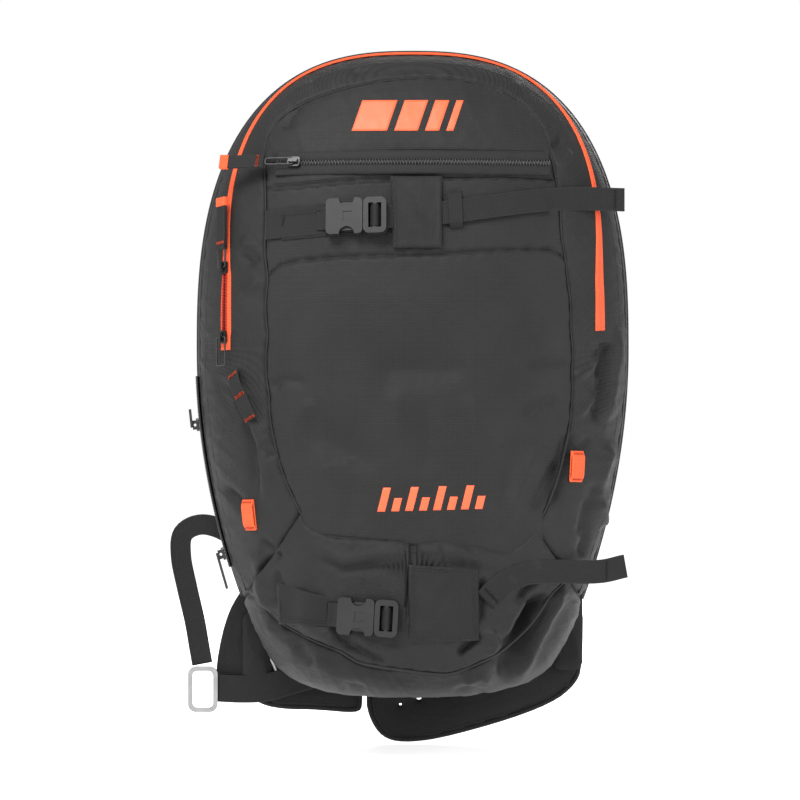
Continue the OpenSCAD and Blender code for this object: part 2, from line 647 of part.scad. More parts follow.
hinge_x = 150;
wing_gap = 3;                       // from the pads' face to the right wing
module belt_roots() {
    color("black") {
        for (r = [[-1, 76, 32], [1, 55, 74]]) translate([r[0] * (hinge_x - 14), 0, r[1]])
            plate(rounded(26, r[2], 8), -pad_t + seat, wing_gap - seat);
        plate([[-162, 62], [-173, 14], [-166, 2], [-152, -4], [-149.3, 84]], -3, -1);
    }
}

right_wing = [[150, 92], [150, 20], [144, 6], [125, -10], [74, -30], [23, -43], [-11, -46], [-28, -41],
    [-38, -26], [-42, -8], [-36, 14], [-18, 30], [40, 58], [110, 90]];
left_wing = [[-150, 88], [-150, 4], [-140, -10], [-118, -17], [-80, -18], [-46, -20], [-44, -14], [-44, 8],
    [-48, 22], [-60, 40], [-84, 62], [-116, 86]];
// Rounds the corners of an outline by cutting each at its thirds, twice
function soften(p, n = 2) = n == 0 ? p : soften([for (i = [0 : len(p) - 1]) each
    let (q = p[(i + 1) % len(p)]) [mix(p[i], q, 0.25), mix(p[i], q, 0.75)]], n - 1);
module hip_wing_right() { color("black") plate(soften(right_wing), wing_gap, wing_gap + wing_t); }
module hip_wing_left() { color("black") plate(soften(left_wing), wing_gap, wing_gap + wing_t); }

belt_y = -pad_t + seat + web_t / 2; // the stabiliser webbing lies flat on the back panel
module hip_webbing() {
    color("black") ribbon([[-84, belt_y, 16], [-108, belt_y, 9], [-130, belt_y, 3], [-150, belt_y, 2],
        [-169, belt_y, 3]], [0, 0, 1], 24, web_t);
}
// Rim of a metal buckle in the end of the hip webbing
module hip_buckle() {
    wire = 4;
    color("silver") translate([-183.5, belt_y, 2]) difference() {
        rotate([90, 0, 0]) linear_extrude(wire, center = true) polygon(rounded(26, 40, 7));
        rotate([90, 0, 0]) linear_extrude(2 * wire, center = true) polygon(rounded(26 - 2 * wire, 40 - 2 * wire, 4));
    }
}

module leg_strap() {
    y = -pad_t + seat + web_t / 2;
    color("black") ribbon(curve([[-142, y, 104], [-148, y, 123], [-162, y + 1, 139], [-184, y + 3, 146], [-201, y + 5, 138],
        [-203, y + 6, 118], [-198, y + 6, 92], [-191, y + 5, 62], [-187, y + 2.6, 40], [-184, y + 0.6, 24]], 3),
        [0, 0, 1], web_w - 2, web_t, [0, 1, 0]);
}

// Wire hook that the leg strap closes with
module leg_hook() {
    y = -5.4;
    color("silver") tube(curve([[-117, y, 10], [-121, y, 22], [-129, y, 34], [-139, y, 43], [-140, y, 51],
        [-132, y, 54], [-124, y, 47]], 4), 3.6, 10, [0, 1, 0]);
}

// ---- Inflation system ----

airbag_y = -56;
module airbag() {
    sides = 12;
    arch = [14 : 6 : 166];
    function ring(a, k) = let (r = reach(a) - 38 + airbag_w / 2 * cos(360 * k / sides), p = polar(a, r))
        [p[0], airbag_y + airbag_d / 2 * sin(360 * k / sides), p[1]];
    last = len([for (a = arch) a]) - 1;
    rings = [for (a = arch) [for (k = [0 : sides - 1]) ring(a, k)]];
    color("orange") polyhedron([for (r = rings) each r], tube_faces(last, sides), convexity = 4);
}

tank = [95, -62, 52];               // x, y and lowest height of the gas cylinder
neck_h = 12;
module gas_cylinder() {
    r = cylinder_d / 2;
    dome = 14;
    color("silver") translate(tank) {
        rotate_extrude() polygon(concat([[0, 0]],
            [for (a = [0 : 15 : 90]) [r - dome + dome * sin(a), dome - dome * cos(a)]],
            [for (a = [0 : 15 : 90]) [13 + (r - 13) * cos(a), cylinder_l - 24 + 20 * sin(a)]],
            [[13, cylinder_l], [0, cylinder_l]]));
        translate([0, 0, cylinder_l]) cylinder(h = neck_h, r = 9);
    }
}

head_d = 34;
head_h = 34;
module cylinder_head() {
    head_z = tank[2] + cylinder_l + seat;
    color("gold") translate([tank[0], tank[1], head_z]) {
        difference() {
            cylinder(h = head_h, d = head_d);
            translate([0, 0, -1]) cylinder(h = neck_h + 1 + seat, r = 9.05);
        }
        translate([0, 0, head_h - 0.01]) cylinder(h = 9, d = 14);
        translate([0, -head_d / 2 + 2, head_h / 2 + 4]) rotate([90, 0, 0]) cylinder(h = 12, d = 26);
        translate([-9, 13, 28]) cylinder(h = 9, d = 9);
    }
}

ejector_at = [34, -58, 405];
module ejector() {
    throat = 17;
    cup = 29;
    color("dimgray") translate(ejector_at) difference() {
        rotate_extrude() polygon([[0, 0], [10, 0], [12, 8], [cup, 18], [cup, 46], [throat + 3, 60], [throat + 3, 86], [0, 86]]);
        translate([0, 0, 20]) cylinder(h = 24, r = cup - 2.5);
        translate([0, 0, 43]) cylinder(h = 50, r = throat);
        for (a = [0 : 45 : 359]) rotate([0, 0, a + 22.5]) translate([cup - 6, -7, 24]) cube([12, 14, 16]);
    }
}

module air_hose() {
    head_top = tank[2] + cylinder_l + seat + head_h + 9;
    color("black") tube(curve([[tank[0], tank[1], head_top + 2 * seat], [tank[0], tank[1], head_top + 14],
        [tank[0] - 12, tank[1], head_top + 34], [ejector_at[0] + 20, -60, 372],
        [ejector_at[0], ejector_at[1], 388], [ejector_at[0], ejector_at[1], ejector_at[2] - 2 * seat]], 4), 10, 10, [0, 1, 0.02]);
}

// ---- Whole pack ----

module show() { translate([0, 0, -spine_z]) children(); }
show() back_panel();
show() frame_sheet();
show() frame_stays();
show() back_pads();
show() airbag_cover();
show() gusset();
show() base_panel();
show() front_panel();
show() top_pocket();
show() front_zip();
show() front_zip_slider();
show() front_zip_pull();
show() main_zip();
show() main_zip_upper_slider();
show() main_zip_upper_pull();
show() main_zip_lower_slider();
show() main_zip_lower_pull();
show() side_zip();
show() side_zip_upper_slider();
show() side_zip_lower_slider();
show() strap_anchors();
show() upper_buckle_socket();
show() upper_buckle_plug();
show() upper_buckle_prong_a();
show() upper_buckle_prong_b();
show() upper_strap_tail();
show() strap_keeper();
show() strap_flap();
show() lower_pocket();
show() lower_buckle_socket();
show() lower_buckle_plug();
show() lower_buckle_prong_a();
show() lower_buckle_prong_b();
show() lower_strap_tail();
show() lower_flap();
show() gear_loops();
show() left_shoulder_strap();
show() right_shoulder_strap();
show() harness_webbing();
show() ladder_locks();
show() haul_loop();
show() sternum_strap_left();
show() sternum_strap_right();
show() sternum_socket();
show() sternum_plug();
show() trigger_pouch();
show() trigger_handle();
show() trigger_cable();
show() belt_roots();
show() hip_wing_left();
show() hip_wing_right();
show() hip_webbing();
show() hip_buckle();
show() leg_strap();
show() leg_hook();
show() airbag();
show() gas_cylinder();
show() cylinder_head();
show() ejector();
show() air_hose();
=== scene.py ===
"""Avalanche airbag pack: its sewn shell, straps, zips, buckles and harness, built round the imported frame."""

import math

import bmesh
import bpy
import numpy as np
from mathutils import Matrix, Vector
from mathutils.bvhtree import BVHTree
from mathutils.kdtree import KDTree


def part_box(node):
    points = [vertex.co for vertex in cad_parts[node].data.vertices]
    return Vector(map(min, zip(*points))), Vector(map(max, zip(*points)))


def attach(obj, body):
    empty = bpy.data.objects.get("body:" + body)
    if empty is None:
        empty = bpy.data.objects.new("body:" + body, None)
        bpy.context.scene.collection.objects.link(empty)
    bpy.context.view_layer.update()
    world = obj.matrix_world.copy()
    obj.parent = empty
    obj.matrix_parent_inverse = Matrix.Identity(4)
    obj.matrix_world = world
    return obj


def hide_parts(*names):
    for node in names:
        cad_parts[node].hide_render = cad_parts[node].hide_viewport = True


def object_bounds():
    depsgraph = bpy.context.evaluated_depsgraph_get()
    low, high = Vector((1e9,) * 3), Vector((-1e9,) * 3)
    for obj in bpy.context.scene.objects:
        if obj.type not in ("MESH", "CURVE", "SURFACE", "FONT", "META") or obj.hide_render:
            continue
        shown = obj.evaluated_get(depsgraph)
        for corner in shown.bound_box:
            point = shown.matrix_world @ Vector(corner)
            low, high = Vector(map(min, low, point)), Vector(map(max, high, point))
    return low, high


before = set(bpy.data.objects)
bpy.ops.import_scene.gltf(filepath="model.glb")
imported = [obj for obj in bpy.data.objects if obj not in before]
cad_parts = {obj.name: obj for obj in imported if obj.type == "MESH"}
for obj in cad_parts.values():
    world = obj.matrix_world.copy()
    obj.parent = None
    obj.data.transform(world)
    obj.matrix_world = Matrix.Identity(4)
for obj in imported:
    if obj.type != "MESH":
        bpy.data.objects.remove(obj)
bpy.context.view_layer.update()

# ---- Studio ----
# A long lens square on to the pack's outer face, over a pale floor in an almost white room.
# Two broad soft lights from above and a weaker one from the left keep the black cloth readable.
LENS_M = 3.2
FRAME_W = 0.68
AIM_X, AIM_Z = -0.011, -0.035
NEAR_Y = -0.1
camera_data = bpy.data.cameras.new("studio_camera")
camera_data.sensor_width = 36
camera_data.lens = 36 / FRAME_W * (LENS_M + NEAR_Y)
camera_data.clip_end = 60
camera = bpy.data.objects.new("studio_camera", camera_data)
camera.location = (AIM_X, -LENS_M, AIM_Z)
camera.rotation_euler = (math.radians(90), 0, 0)
bpy.context.collection.objects.link(camera)
bpy.context.scene.camera = camera


def area_light(name, at, aim, size, watts):
    data = bpy.data.lights.new(name, "AREA")
    data.shape = "RECTANGLE"
    data.size, data.size_y = size
    data.energy = watts
    light = bpy.data.objects.new(name, data)
    light.location = at
    light.rotation_euler = (Vector(aim) - Vector(at)).to_track_quat("-Z", "Y").to_euler()
    bpy.context.collection.objects.link(light)


area_light("top_softbox", (-0.7, -1.3, 1.7), (0, 0, 0), (1.3, 1.0), 68)
area_light("right_softbox", (1.9, -1.1, 0.5), (0, 0, 0), (0.9, 1.6), 26)
area_light("left_softbox", (-1.8, -1.0, 0.1), (0, 0, 0), (0.8, 1.6), 13)
area_light("back_softbox", (0.4, 1.9, 1.1), (0, 0, 0), (1.6, 1.2), 34)

bpy.context.scene.view_settings.view_transform = "Standard"
world = bpy.data.worlds.new("white_room")
bpy.context.scene.world = world
world.use_nodes = True
world.node_tree.nodes["Background"].inputs["Color"].default_value = (1, 1, 1, 1)
world.node_tree.nodes["Background"].inputs["Strength"].default_value = 0.50
white_wall = world.node_tree.nodes.new("ShaderNodeBackground")
either = world.node_tree.nodes.new("ShaderNodeMixShader")
world.node_tree.links.new(world.node_tree.nodes.new("ShaderNodeLightPath").outputs["Is Camera Ray"],
                          either.inputs[0])
world.node_tree.links.new(world.node_tree.nodes["Background"].outputs[0], either.inputs[1])
world.node_tree.links.new(white_wall.outputs[0], either.inputs[2])
white_wall.inputs["Color"].default_value = (1, 1, 1, 1)
world.node_tree.links.new(either.outputs[0], world.node_tree.nodes["World Output"].inputs["Surface"])


# ---- Shade: the words that every finish is written in ----
class Value:
    """A socket that can be used in an expression."""

    def __init__(self, shade, socket):
        self.shade, self.socket = shade, socket

    def _maths(self, how, a, b=None):
        return self.shade.node("ShaderNodeMath", {"operation": how}, {0: a, **({} if b is None else {1: b})})

    def __add__(self, b):
        return self._maths("ADD", self, b)

    def __radd__(self, a):
        return self._maths("ADD", a, self)

    def __sub__(self, b):
        return self._maths("SUBTRACT", self, b)

    def __rsub__(self, a):
        return self._maths("SUBTRACT", a, self)

    def __mul__(self, b):
        return self._maths("MULTIPLY", self, b)

    def __rmul__(self, a):
        return self._maths("MULTIPLY", a, self)

    def __truediv__(self, b):
        return self._maths("DIVIDE", self, b)

    def __pow__(self, b):
        return self._maths("POWER", self, b)

    def __abs__(self):
        return self._maths("ABSOLUTE", self)

    def sine(self):
        return self._maths("SINE", self)

    def at_most(self, b):
        return self._maths("MINIMUM", self, b)

    def at_least(self, b):
        return self._maths("MAXIMUM", self, b)


class Shade:
    """A material under construction: node() adds any node and gives back its first output, or the one named."""

    def __init__(self, name):
        self.material = bpy.data.materials.new(name)
        self.material.use_nodes = True
        self.tree = self.material.node_tree
        self.tree.nodes.clear()

    def link(self, socket, value):
        if isinstance(value, Value):
            self.tree.links.new(value.socket, socket)
        elif value is not None:
            socket.default_value = value

    def node(self, kind, settings=None, sockets=None, output=0):
        made = self.tree.nodes.new(kind)
        for key, value in (settings or {}).items():
            if key == "stops":
                ramp = made.color_ramp
                while len(ramp.elements) < len(value):
                    ramp.elements.new(0.5)
                for element, (place, colour) in zip(ramp.elements, value):
                    element.position = place
                    element.color = (*colour, 1)
            else:
                setattr(made, key, value)
        for key, value in (sockets or {}).items():
            self.link(made.inputs[key], value)
        return Value(self, made.outputs[output])

    def noise(self, vector, scale, detail=3.0, rough=0.5):
        return self.node("ShaderNodeTexNoise", None,
                         {"Vector": vector, "Scale": scale, "Detail": detail, "Roughness": rough}, "Fac")

    def mix(self, share, a, b):
        return self.node("ShaderNodeMix", {"data_type": "RGBA"}, {0: share, 6: a, 7: b}, 2)

    def surface(self, colour, rough, bumps=(), metallic=0.0, coat=0.0, sheen=0.0, sheen_rough=0.4,
                sheen_tint=None,
                specular=0.5, coat_rough=0.2):
        sockets = {"Base Color": colour, "Roughness": rough, "Metallic": metallic, "Coat Weight": coat,
                   "Coat Roughness": coat_rough, "Sheen Weight": sheen, "Sheen Roughness": sheen_rough,
                   "Specular IOR Level": specular}
        if sheen_tint:
            sockets["Sheen Tint"] = (*sheen_tint, 1)
        normal = None
        for height, depth in bumps:
            normal = self.node("ShaderNodeBump", None, {"Height": height, "Distance": depth, "Strength": 1.0,
                                                        **({"Normal": normal} if normal else {})}, "Normal")
        if normal:
            sockets["Normal"] = normal
        principled = self.node("ShaderNodeBsdfPrincipled", None, sockets, "BSDF")
        self.node_out(principled)
        return self.material

    def node_out(self, value):
        out = self.tree.nodes.new("ShaderNodeOutputMaterial")
        self.tree.links.new(value.socket, out.inputs["Surface"])


def lay_axes(shade):
    """Millimetres across the cloth, along it, and in from its nearest sewn edge."""
    lay = shade.node("ShaderNodeAttribute", {"attribute_name": "lay"}, None, "Vector")
    split = shade.tree.nodes.new("ShaderNodeSeparateXYZ")
    shade.tree.links.new(lay.socket, split.inputs[0])
    return lay, *[Value(shade, split.outputs[i]) for i in range(3)]


def grey(v, warm=0.0):
    return (v * (1 + warm), v, v * (1 - warm), 1)


# The shell's cloth: black nylon with fine ribs across it and a stronger grid thread every few millimetres.
# It is a little scuffed and dusty, most of all beside its seams, where it is pulled tight.
def shell_cloth(name, dark, light, rough, rib=1.7, seam_wear=0.5):
    s = Shade(name)
    lay, across, along, edge = lay_axes(s)
    ribs = (along * (2 * math.pi / rib)).sine() * 0.5 + 0.5
    threads = (across * (2 * math.pi / 0.9)).sine() * 0.5 + 0.5
    grid = ((1 - abs((across * (math.pi / 5)).sine())) ** 14).at_least((1 - abs((along * (math.pi / 5)).sine())) ** 14)
    weave = ribs * 0.7 + threads * 0.3
    cloud = s.noise(lay, 0.018, 5.0, 0.55)
    fine = s.noise(lay, 0.35, 4.0, 0.6)
    dust = ((s.noise(lay, 1.1, 2.0, 0.5) - 0.71) * 9).at_least(0).at_most(1)
    worn = ((1 - edge / 5).at_least(0) ** 2) * fine * seam_wear
    tone = (weave * 0.34 + cloud * 0.5 + grid * 0.18 + worn * 0.9 + fine * 0.12 - 0.1).at_least(0).at_most(1)
    colour = s.mix(tone, dark, light)
    colour = s.mix(dust * 0.22, colour, grey(0.2))
    roughness = (rough + (fine - 0.5) * 0.2 + ribs * 0.05 - worn * 0.08).at_most(1)
    return s.surface(colour, roughness, [(weave + grid * 0.7, 0.00012), (fine, 0.0003), (cloud, 0.0016)],
                     sheen=0.02, sheen_rough=0.35, specular=0.14)


ripstop = shell_cloth("ripstop_black", grey(0.0085), grey(0.027, 0.01), 0.56)
smooth_cloth = shell_cloth("smooth_black_cloth", grey(0.0075), grey(0.021, 0.01), 0.50, rib=0.8)
base_cloth = shell_cloth("coated_base_cloth", grey(0.0075), grey(0.018, 0.01), 0.52, rib=2.4)

# ---- Shell ----
# The bag is sewn from cut panels of that cloth over a foam back, and stands out like a shallow bowl, deepest at its base.
# Sizes are in millimetres from the base of the bag, as a maker would mark them on the pattern.
BODY_W, BASE_W, BODY_H, SHOULDER = 372.0, 208.0, 557.0, 300.0
BASE_D, TOP_D, BACK = 155.0, 120.0, 18.0
ROUND, BASE_ROUND, FULL = 2.6, 28.0, 2.4
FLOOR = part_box("base_panel")[0].z * 1000
rng = np.random.default_rng(7)


def hump(t):
    u = np.clip(t, 0, 1)
    return u * u * (3 - 2 * u)


def wall_half(z):
    low = np.sin(np.pi / 2 * np.clip(z / SHOULDER, 0, 1)) ** 0.75
    return np.where(z > SHOULDER, BODY_W / 2, BASE_W / 2 + (BODY_W - BASE_W) / 2 * low)


def share(x, z):
    up = np.clip((z - SHOULDER) / (BODY_H - SHOULDER), 0, None) ** ROUND
    down = np.clip((SHOULDER - z) / SHOULDER, 0, None) ** BASE_ROUND
    return ((np.abs(x) / wall_half(z)) ** ROUND + up + down) ** (1 / ROUND)


def wall_y(x, z):
    depth = BASE_D + (TOP_D - BASE_D) * z / BODY_H
    return -BACK - depth * np.clip(1 - np.clip(share(x, z), 0, 1) ** FULL, 0, None) ** (1 / FULL)


def polar(a, r):
    return r * np.cos(a), SHOULDER + r * np.sin(a)


def reach(a, level):
    low, high = np.zeros(np.broadcast(a, level).shape), np.full(np.broadcast(a, level).shape, 460.0)
    for _ in range(36):
        mid = (low + high) / 2
        inside = share(*polar(a, mid)) < level
        low, high = np.where(inside, mid, low), np.where(inside, high, mid)
    return (low + high) / 2


def stack(x, y, z):
    return np.stack(np.broadcast_arrays(x, y, z), -1).astype(float)


def unit(v):
    return v / np.maximum(np.linalg.norm(v, axis=-1, keepdims=True), 1e-9)


def wall_normal(x, z):
    x, z = np.asarray(x, float), np.asarray(z, float)
    s = share(x, z)
    k = np.where(s > 0.985, 0.985 / np.maximum(s, 1e-6), 1.0)
    x, z = x * k, SHOULDER + (z - SHOULDER) * k
    dx = (wall_y(x + 1, z) - wall_y(x - 1, z)) / 2
    dz = (wall_y(x, z + 1) - wall_y(x, z - 1)) / 2
    return unit(stack(dx, -1.0, dz))


# Folds that the cloth has taken: where each runs (x, height), how wide it is, and how far it stands out
FOLDS = [
    ([(-167, 275), (-152, 253), (-142, 237), (-136, 216), (-133, 195), (-131, 170)], 4.5, -6),
    ([(-154, 279), (-139, 246), (-127, 221), (-123, 196), (-123, 166)], 6, 4.5),
    ([(-160, 181), (-150, 173), (-140, 162)], 3.5, -4),
    ([(-128, 218), (-122, 212), (-116, 206)], 3, -3),
    ([(-147, 378), (-138, 372), (-128, 376)], 4, -3),
    ([(-150, 340), (-139, 347), (-128, 358)], 5, 3),
    ([(-144, 391), (-137, 385), (-132, 388)], 4, 3),
    ([(-105, 518), (-94, 524), (-82, 527)], 4, 3),
    ([(-96, 507), (-105, 495), (-108, 483)], 5, -3.5),
    ([(-54, 539), (-47, 536), (-35, 541)], 4, -3),
    ([(78, 542), (88, 534), (90, 520)], 5, 3.5),
    ([(118, 468), (125, 476), (133, 491)], 4, -3.5),
    ([(122, 450), (130, 459), (135, 468)], 4, 2.5),
    ([(169, 316), (164, 296), (161, 269), (158, 253), (154, 235)], 5, -7.5),
    ([(176, 319), (172, 289), (167, 259), (161, 234)], 7, 4),
    ([(157, 300), (159, 287), (159, 274)], 3.5, -4),
    ([(135, 273), (146, 280), (157, 292)], 4, 3.5),
    ([(136, 241), (146, 251), (156, 260)], 4, 3.2),
    ([(134, 230), (127, 206), (118, 175), (113, 165)], 6, -7),
    ([(152, 224), (140, 212), (139, 199)], 4, -3.5),
    ([(169, 221), (162, 199), (156, 178), (150, 166)], 6, 4.5),
    ([(159, 189), (152, 175), (146, 153), (143, 136)], 5, -5),
    ([(156, 170), (162, 160), (164, 144)], 5, 4),
    ([(149, 144), (145, 132), (142, 122)], 4, -4),
    ([(-35, 279), (-7, 281), (23, 280), (47, 284)], 13, -5.5),
    ([(-97, 224), (-71, 220), (-43, 208), (-54, 196)], 16, -5),
    ([(-120, 264), (-110, 272), (-98, 271), (-87, 269)], 4, -3),
    ([(92, 282), (108, 286), (122, 287), (132, 286)], 4, -3),
    ([(89, 243), (101, 250), (113, 255), (123, 253)], 5, -3),
    ([(-96, 234), (-81, 211), (-64, 183), (-57, 153)], 8, 3.5),
    ([(-81, 255), (-96, 241), (-108, 221)], 8, 3),
    ([(11, 259), (13, 230), (9, 191)], 9, -2.5),
    ([(-11, 268), (-14, 234), (-9, 196)], 10, 2.5),
    ([(48, 262), (55, 230), (71, 208)], 9, 2.8),
    ([(91, 230), (81, 206), (74, 170)], 9, -3),
    ([(108, 221), (96, 196), (84, 166), (74, 144)], 7, 4),
    ([(125, 208), (112, 187), (99, 160)], 6, -4.5),
    ([(-88, 129), (-58, 113), (-35, 116), (-11, 117), (23, 119), (48, 117), (74, 110)], 3.4, -3.0),
    ([(-86, 136), (-58, 122), (-11, 127), (31, 128), (78, 121)], 5, 2.4),
    ([(23, 135), (24, 127), (24, 119)], 3.0, -1.4),
    ([(-111, 115), (-112, 98), (-110, 81)], 3.0, -2.6),
    ([(-122, 132), (-128, 115), (-125, 94), (-116, 75)], 6, 4),
    ([(-128, 138), (-120, 129), (-108, 122)], 3.5, -4),
    ([(-4, 116), (-3, 94), (-7, 75)], 3, -3),
    ([(57, 110), (57, 88), (55, 66)], 3.4, -4),
    ([(55, 61), (45, 51), (37, 42)], 4, -5.5),
    ([(62, 66), (67, 51), (62, 41)], 5, 4.5),
    ([(91, 94), (78, 72), (74, 56)], 7, 5),
    ([(103, 109), (91, 95), (81, 85)], 4, -4.5),
    ([(112, 94), (98, 70), (84, 42), (76, 8)], 9, -16),
    ([(128, 98), (115, 75), (99, 47), (86, 14)], 5, 8),
    ([(139, 85), (130, 64), (115, 42), (98, 24)], 10, 3),
    ([(-62, 63), (-52, 51), (-35, 42), (-21, 34)], 4, -3.5),
    ([(-58, 85), (-64, 66), (-59, 48)], 3.5, -3),
    ([(-96, 72), (-77, 61), (-58, 51)], 6, 3),
    ([(-128, 76), (-113, 56), (-88, 41), (-62, 31)], 9, 4.5),
    ([(-98, 51), (-89, 41), (-81, 34)], 6, -5),
    ([(-28, 24), (6, 18), (48, 20)], 8, -3.5),
    ([(31, 8), (48, 13), (65, 5)], 4, -4),
    ([(40, 17), (57, 24), (67, 17)], 4, 3),
    ([(-62, 10), (-54, 17), (-37, 14)], 4, -2.5),
]


def fold_height(x, z):
    total = np.zeros(np.shape(x))
    for line, width, height in FOLDS:
        line = np.array(line, float)
        lengths = np.linalg.norm(np.diff(line, axis=0), axis=1)
        starts = np.concatenate([[0], np.cumsum(lengths)])
        nearest, place = np.full(np.shape(x), 1e9), np.zeros(np.shape(x))
        for i, length in enumerate(lengths):
            d = (line[i + 1] - line[i]) / length
            t = np.clip((x - line[i, 0]) * d[0] + (z - line[i, 1]) * d[1], 0, length)
            gap = np.hypot(x - line[i, 0] - d[0] * t, z - line[i, 1] - d[1] * t)
            place = np.where(gap < nearest, starts[i] + t, place)
            nearest = np.minimum(gap, nearest)
        along = place / starts[-1]
        fade = hump(np.minimum(along, 1 - along) * 4 + 0.12)
        total += height * fade * np.exp(-((nearest / width) ** 1.7))
    return total


WAVES = [(rng.uniform(0, math.pi), rng.uniform(0, 6.28),
          2 * math.pi / rng.uniform(22, 75)) for _ in range(16)]


def crumple(x, z):
    """Small sharp ridges in crossing directions, as in cloth that has been stuffed and emptied."""
    total = np.zeros(np.shape(x))
    bend = 9 * np.sin(x / 41 + 1) + 7 * np.sin(z / 33) + 4 * np.sin((x + z) / 17)
    for i, (turn, phase, k) in enumerate(WAVES):
        run = (x * math.cos(turn) + z * math.sin(turn) + bend * (1 if i % 2 else -0.7)) * k + phase
        patchy = 0.5 + 0.5 * np.sin(x / (29 + 3 * i) + 2 * i) * np.sin(z / (37 + 2 * i) + i)
        total += ((1 - np.abs(np.sin(run))) ** 3 - 0.2) * patchy * 14 / (k * 100)
    return total / 3


def slack(x, z):
    """How loose the cloth is: little over the padded middle, most at the sides and the empty base."""
    side = hump((np.abs(x) - 95) / 70)
    low = hump((190 - z) / 120)
    top = hump((z - 440) / 60)
    return 0.28 + 0.75 * side + 1.0 * low + 0.45 * top * (1 - side)


zip_turns = np.radians(np.arange(0, 186, 1.0))
zip_rise = np.degrees(np.minimum(zip_turns, math.pi - zip_turns))
zip_size = reach(zip_turns, 1.0) - 4 - 24 * (1 - hump((zip_rise - 18) / 52))


def near_zip(x, z):
    """1 beside the main zip, where its tape holds the cloth flat, and 0 well away from it."""
    turn = np.arctan2(z - SHOULDER, x)
    away = np.abs(np.hypot(x, z - SHOULDER) - np.interp(turn, zip_turns, zip_size))
    return np.where((turn > 0.02) | (turn < -3.08), 1 - hump((away - 7) / 12), 0)


def cloth_height(x, z):
    return (1.3 * fold_height(x, z) + 1.2 * crumple(x, z) * slack(x, z)) * (1 - 0.85 * near_zip(x, z))


def spread(length, step, sewn=(True, True)):
    """Places from 0 to 1 along a panel, closer together beside a sewn edge."""
    close = np.array([0.45, 1.0, 1.7, 2.6, 3.8, 5.2])
    low = close if sewn[0] else np.array([])
    high = length - close[::-1] if sewn[1] else np.array([])
    start, end = (close[-1] if sewn[0] else 0), (length - close[-1] if sewn[1] else length)
    middle = np.linspace(start, end, max(3, int((end - start) / step)))
    inner = middle[1:-1] if sewn[0] and sewn[1] else (middle[1:] if sewn[0] else middle[:-1])
    if not sewn[0] and not sewn[1]:
        inner = middle[1:-1]
    places = np.concatenate([[0], low, inner, high, [length]])
    return np.unique(np.clip(places, 0, length)) / length


def edge_gaps(points, sides):
    """Distance in millimetres from each point of a grid to its nearest sewn side: first row, last row, first column, last column."""
    down = np.concatenate([np.zeros((1, points.shape[1])),
                           np.cumsum(np.linalg.norm(np.diff(points, axis=0), axis=2), axis=0)])
    over = np.concatenate([np.zeros((points.shape[0], 1)),
                           np.cumsum(np.linalg.norm(np.diff(points, axis=1), axis=2), axis=1)], axis=1)
    gaps = np.full(points.shape[:2], 60.0)
    for used, gap in zip(sides, (down, down[-1:] - down, over, over[:, -1:] - over)):
        if used:
            gaps = np.minimum(gaps, gap)
    return gaps


def to_row(points):
    """Millimetres from the base of the bag to metres in the row frame."""
    return (np.asarray(points, float) + [0, 0, FLOOR]) / 1000


def make_object(name, points, faces, material, lay=None, smooth=True):
    mesh = bpy.data.meshes.new(name)
    mesh.from_pydata(to_row(points).tolist(), [], faces)
    if lay is not None:
        mesh.attributes.new("lay", "FLOAT_VECTOR", "POINT").data.foreach_set(
            "vector", np.asarray(lay, np.float32).ravel())
    mesh.materials.append(material)
    work = bmesh.new()
    work.from_mesh(mesh)
    bmesh.ops.remove_doubles(work, verts=work.verts, dist=0.00001)
    bmesh.ops.dissolve_degenerate(work, edges=work.edges, dist=0.00001)
    bmesh.ops.recalc_face_normals(work, faces=work.faces)
    work.to_mesh(mesh)
    work.free()
    mesh.shade_smooth() if smooth else None
    made = bpy.data.objects.new(name, mesh)
    bpy.context.collection.objects.link(made)
    return made


def grid_faces(rows, cols, first=0, ring=False):
    faces = []
    for i in range(rows - 1):
        for j in range(cols if ring else cols - 1):
            k = (j + 1) % cols
            faces.append((first + i * cols + j, first + i * cols + k, first + (i + 1) * cols + k,
                          first + (i + 1) * cols + j))
    return faces


def sheet_parts(front, back, lay, first=0, ring=False):
    """Points, faces and lay of a closed sheet between two grids."""
    rows, cols = front.shape[:2]
    count = rows * cols
    faces = grid_faces(rows, cols, first, ring)
    faces += [tuple(reversed([v + count for v in f])) for f in grid_faces(rows, cols, first, ring)]
    rim = []
    span = cols if ring else cols - 1
    for j in range(span):
        k = (j + 1) % cols
        rim += [(first + j, first + count + j, first + count + k, first + k)]
        last = first + (rows - 1) * cols
        rim += [(last + j, last + k, last + count + k, last + count + j)]
    if not ring:
        for i in range(rows - 1):
            a, b = first + i * cols, first + (i + 1) * cols
            rim += [(a, b, b + count, a + count),
                    (a + cols - 1, a + count + cols - 1, b + count + cols - 1, b + cols - 1)]
    return (np.concatenate([front.reshape(-1, 3), back.reshape(-1, 3)]), faces + rim,
            np.concatenate([lay.reshape(-1, 3), lay.reshape(-1, 3)]))


def joined(name, parts, material, smooth=True):
    """One object from several closed parts."""
    points, faces, lays, first = [], [], [], 0
    for p, f, l in parts:
        points.append(p)
        faces += [tuple(v + first for v in face) for face in f]
        lays.append(l)
        first += len(p)
    return make_object(name, np.concatenate(points), faces, material, np.concatenate(lays), smooth)


SEAM_DEPTH, SEAM_WIDTH, CLOTH_T = 2.1, 4.2, 1.5


